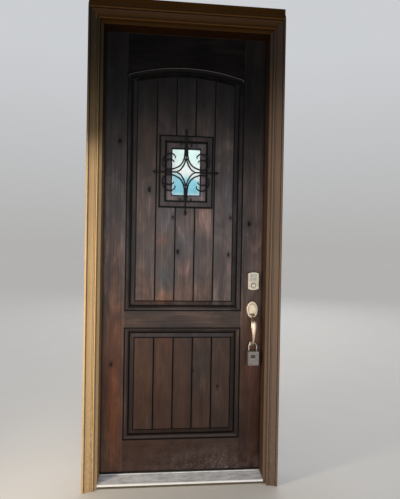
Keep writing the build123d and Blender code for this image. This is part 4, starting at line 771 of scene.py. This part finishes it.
def grille():
    bm = bmesh.new()
    for line, w0, w1, tp in ((SCROLL, 8.6, 7.4, 0.40), (INNER, 8.6, 7.6, 0.2), (HOOK, 7.4, 5.8, 0.4), (CURL, 7.6, 6.0, 0.4)):
        q = spline(line)
        for sx in (1, -1):
            for sz in (1, -1):
                forged(bm, [(sx * x, sz * z) for x, z in q], w0, w1, tp)
    for sg in (1, -1):
        up = [(0.0, sg * (70 + 142 * k / 24)) for k in range(25)]
        forged(bm, up, 8.6, 8.6)
        side = [(sg * (46 + 110 * k / 20), 0.0) for k in range(21)]
        forged(bm, side, 8.6, 8.6)
        # spear tips, leaf-shaped with a raised midrib
        for dx, dz, base in ((0, sg, 208), (sg, 0, 152)):
            rows = []
            for q, hw, hy in ((0, 4.0, 3.4), (5, 4.2, 3.4), (9, 6.2, 2.9), (14, 7.8, 2.6), (20, 7.2, 2.4), (26, 5.0, 2.0),
                              (31, 2.8, 1.4), (34.4, 0.8, 0.7)):
                row = []
                for k in range(8):
                    a = 2 * math.pi * k / 8
                    c, sn = math.cos(a), math.sin(a)
                    e = abs(c) + abs(sn) * (1.0 if k % 2 == 0 else 0.92)
                    px, pz = dz * c * hw / e, dx * c * hw / e
                    row.append(bm.verts.new((GRX + (dx * (base + q) + px) / 1000, (GY0 + GY1) / 2 + sn * hy / e / 1000,
                                             GRZ + (dz * (base + q) + pz) / 1000)))
                rows.append(row)
            for a, b in zip(rows, rows[1:]):
                for k in range(8):
                    bm.faces.new((a[k], a[(k + 1) % 8], b[(k + 1) % 8], b[k]))
            bm.faces.new(list(reversed(rows[0])))
            bm.faces.new(rows[-1])
        ringbox(bm, GRX, GRZ + sg * 0.140, 0.009, 0.005, GY0 - 0.002, GY1 + 0.001)
    # feet that hold the bars off the casing
    for x, z in ((0, 184), (0, -184), (133, 0), (-133, 0)):
        rows = []
        for y, rr in ((-0.0135, 0.0044), (-0.0120, 0.0040), (-0.0085, 0.0040), (-0.0068, 0.0050), (-0.0056, 0.0050)):
            rows.append([bm.verts.new((GRX + x / 1000 + rr * math.cos(2 * math.pi * k / 20), y,
                                       GRZ + z / 1000 + rr * math.sin(2 * math.pi * k / 20))) for k in range(20)])
        for a, b in zip(rows, rows[1:]):
            for k in range(20):
                bm.faces.new((a[k], b[k], b[(k + 1) % 20], a[(k + 1) % 20]))
        bm.faces.new(rows[0])
        bm.faces.new(list(reversed(rows[-1])))
    bmesh.ops.recalc_face_normals(bm, faces=bm.faces)
    for fc in bm.faces:
        fc.smooth = len(fc.verts) == 4
    mesh_object("grille_forged", bm, "leaf", IRON, "wrought_iron", "speakeasy_grille")


def pebbled():
    """The obscure glass: its outer face rolled into small pebbles."""
    lo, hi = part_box("speakeasy_glass")
    nx, nz = 72, 116
    bm = bmesh.new()
    front, back = [], []
    for j in range(nz + 1):
        fr, bk = [], []
        for i in range(nx + 1):
            x = lo[0] + (hi[0] - lo[0]) * i / nx
            z = lo[2] + (hi[2] - lo[2]) * j / nz
            rim = i in (0, nx) or j in (0, nz)
            peb = 0.0 if rim else 0.00055 * abs(noise.noise(Vector((x * 190, 3.7, z * 190))))
            fr.append(bm.verts.new((x, lo[1] + peb, z)))
            bk.append(bm.verts.new((x, hi[1], z)))
        front.append(fr)
        back.append(bk)
    for j in range(nz):
        for i in range(nx):
            bm.faces.new((front[j][i], front[j][i + 1], front[j + 1][i + 1], front[j + 1][i]))
            bm.faces.new((back[j][i], back[j + 1][i], back[j + 1][i + 1], back[j][i + 1]))
    for j in range(nz):
        for i, flip in ((0, False), (nx, True)):
            q = [front[j][i], front[j + 1][i], back[j + 1][i], back[j][i]]
            bm.faces.new(q[::-1] if flip else q)
    for i in range(nx):
        for j, flip in ((0, True), (nz, False)):
            q = [front[j][i], front[j][i + 1], back[j][i + 1], back[j][i]]
            bm.faces.new(q[::-1] if flip else q)
    bmesh.ops.recalc_face_normals(bm, faces=bm.faces)
    for fc in bm.faces:
        fc.smooth = True
    mesh_object("glass_pebbled", bm, "sash", M["speakeasy_glass"], "obscure_glass", "speakeasy_glass")


def figures(name, items, body, mat, slot):
    """Printed digits: items are (text, height, matrix)."""
    bm = bmesh.new()
    for text, h, mx in items:
        c = bpy.data.curves.new("tmp", "FONT")
        c.body, c.size, c.extrude = text, h * 1.38, 0.00006
        c.align_x, c.align_y = "CENTER", "CENTER"
        c.resolution_u = 3
        o = bpy.data.objects.new("tmp", c)
        bpy.context.scene.collection.objects.link(o)
        me = bpy.data.meshes.new_from_object(o.evaluated_get(bpy.context.evaluated_depsgraph_get()))
        me.transform(mx)
        bm.from_mesh(me)
        bpy.data.objects.remove(o)
        bpy.data.curves.remove(c)
        bpy.data.meshes.remove(me)
    mesh_object(name, bm, body, mat, slot)


grille()
pebbled()
INK = plastic("digit_ink", (40, 38, 36), 0.55)
WHITE = plastic("digit_white", (214, 210, 202), 0.5)
TOFRONT = Matrix.Rotation(math.radians(90), 4, "X")
for k in range(5):
    z = 1.1305 + (2 - k) * 0.008
    pair = ("1", "2"), ("3", "4"), ("5", "6"), ("7", "8"), ("9", "0")
    figures(f"key_digits_{k + 1}", [(d, 0.0034, Matrix.Translation((0.3915 + sx * 0.0115, -0.02624, z)) @ TOFRONT)
                                    for d, sx in zip(pair[k], (-1, 1))], f"key_{k + 1}", INK, "black_plastic")
for k in range(4):
    cx = 0.390 + (k - 1.5) * 0.0066
    items = []
    for d in range(10):
        a = math.radians(36 * d)
        mx = Matrix.Translation((cx, -0.045, 0.693)) @ Matrix.Rotation(a, 4, "X") @ \
            Matrix.Translation((0, -0.00823, 0)) @ TOFRONT
        items.append((str(d), 0.0030, mx))
    figures(f"wheel_digits_{k + 1}", items, f"wheel_{k + 1}", WHITE, "black_plastic")


# ------------------------------------------------------------------ camera, light, floor
def floor():
    bm = bmesh.new()
    bmesh.ops.create_circle(bm, cap_ends=True, segments=96, radius=40.0)
    me = bpy.data.meshes.new("floor")
    bm.to_mesh(me)
    bm.free()
    o = bpy.data.objects.new("floor", me)
    o.location.z = -0.0006
    bpy.context.scene.collection.objects.link(o)
    t = Net("floor_pale")
    t.set(Base_Color=t.mix(t.noise(t.coord, 3.0, 4.0), srgb(219, 215, 209), srgb(225, 221, 216)), Roughness=0.7)
    me.materials.append(t.mat)


floor()

YAW, PITCH_A, ROLL = math.radians(5.18), math.radians(-0.49), math.radians(1.0)
f = Vector((math.sin(YAW) * math.cos(PITCH_A), math.cos(YAW) * math.cos(PITCH_A), math.sin(PITCH_A)))
r0 = Vector((math.cos(YAW), -math.sin(YAW), 0.0))
u0 = r0.cross(f)
r = math.cos(ROLL) * r0 + math.sin(ROLL) * u0
u = -math.sin(ROLL) * r0 + math.cos(ROLL) * u0
cam = bpy.data.cameras.new("camera")
cam.sensor_fit = "HORIZONTAL"
cam.sensor_width, cam.lens = 36.0, 36.0
cam_o = bpy.data.objects.new("camera", cam)
bpy.context.scene.collection.objects.link(cam_o)
mw = Matrix.Identity(4)
for k in range(3):
    mw[k][0], mw[k][1], mw[k][2] = r[k], u[k], -f[k]
mw.translation = Vector((-0.115, -2.239, 1.303))
cam_o.matrix_world = mw
bpy.context.scene.camera = cam_o


def area(name, loc, at, size, power, col=(1, 1, 1), spread=180.0):
    l = bpy.data.lights.new(name, "AREA")
    l.shape = "RECTANGLE"
    l.spread = math.radians(spread)
    l.size, l.size_y = size
    l.energy = power
    l.color = col
    o = bpy.data.objects.new(name, l)
    o.location = loc
    o.rotation_euler = (Vector(at) - Vector(loc)).to_track_quat("-Z", "Y").to_euler()
    bpy.context.scene.collection.objects.link(o)


def flag(name, corners):
    """A black studio flag round the set, unseen by the camera."""
    me = bpy.data.meshes.new(name)
    me.from_pydata(corners, [], [(0, 1, 2, 3)])
    o = bpy.data.objects.new(name, me)
    bpy.context.scene.collection.objects.link(o)
    t = Net(name + "_cloth")
    t.set(Base_Color=t.mix(t.noise(t.coord, 40.0), srgb(10, 10, 10), srgb(16, 15, 15)), Roughness=0.9)
    t.bsdf.inputs["Specular IOR Level"].default_value = 0.0
    me.materials.append(t.mat)
    o.visible_camera = False


area("strip", (-1.55, -0.95, 1.06), (-0.49, -0.12, 0.95), (0.30, 1.45), 12.0, (1.0, 0.84, 0.62), 120.0)
area("front", (0.12, -4.2, 1.30), (0.0, 0.0, 1.30), (2.7, 1.9), 68.0, (0.86, 0.94, 1.0))
area("back", (1.6, 6.0, 4.6), (0, 0, 1.0), (3.6, 3.6), 80)
for o in bpy.data.objects:
    if o.type == "LIGHT":
        o.visible_camera = False
flag("flag", [(-1.35, -3.7, 2.72), (1.35, -3.7, 2.72), (1.35, -0.13, 2.72), (-1.35, -0.13, 2.72)])
flag("flag_left", [(-1.2, -2.6, 2.72), (-1.2, -0.13, 2.72), (-1.2, -0.13, 1.85), (-1.2, -2.6, 1.85)])
flag("flag_right", [(1.2, -2.6, 2.72), (1.2, -0.13, 2.72), (1.2, -0.13, 1.60), (1.2, -2.6, 1.60)])

w = bpy.data.worlds.new("studio")
bpy.context.scene.world = w
w.use_nodes = True
nt = w.node_tree
bg = nt.nodes["Background"]
tc = nt.nodes.new("ShaderNodeTexCoord")
sp = nt.nodes.new("ShaderNodeSeparateXYZ")
nt.links.new(tc.outputs["Generated"], sp.inputs[0])
cr = nt.nodes.new("ShaderNodeValToRGB")
cr.color_ramp.elements[0].position = 0.0
cr.color_ramp.elements[0].color = (0.445, 0.440, 0.432, 1)
cr.color_ramp.elements[1].position = 0.42
cr.color_ramp.elements[1].color = (0.60, 0.615, 0.64, 1)
nt.links.new(sp.outputs[2], cr.inputs[0])
nt.links.new(cr.outputs[0], bg.inputs[0])
bg.inputs[1].default_value = 1.0
bpy.context.scene.view_settings.view_transform = "Standard"
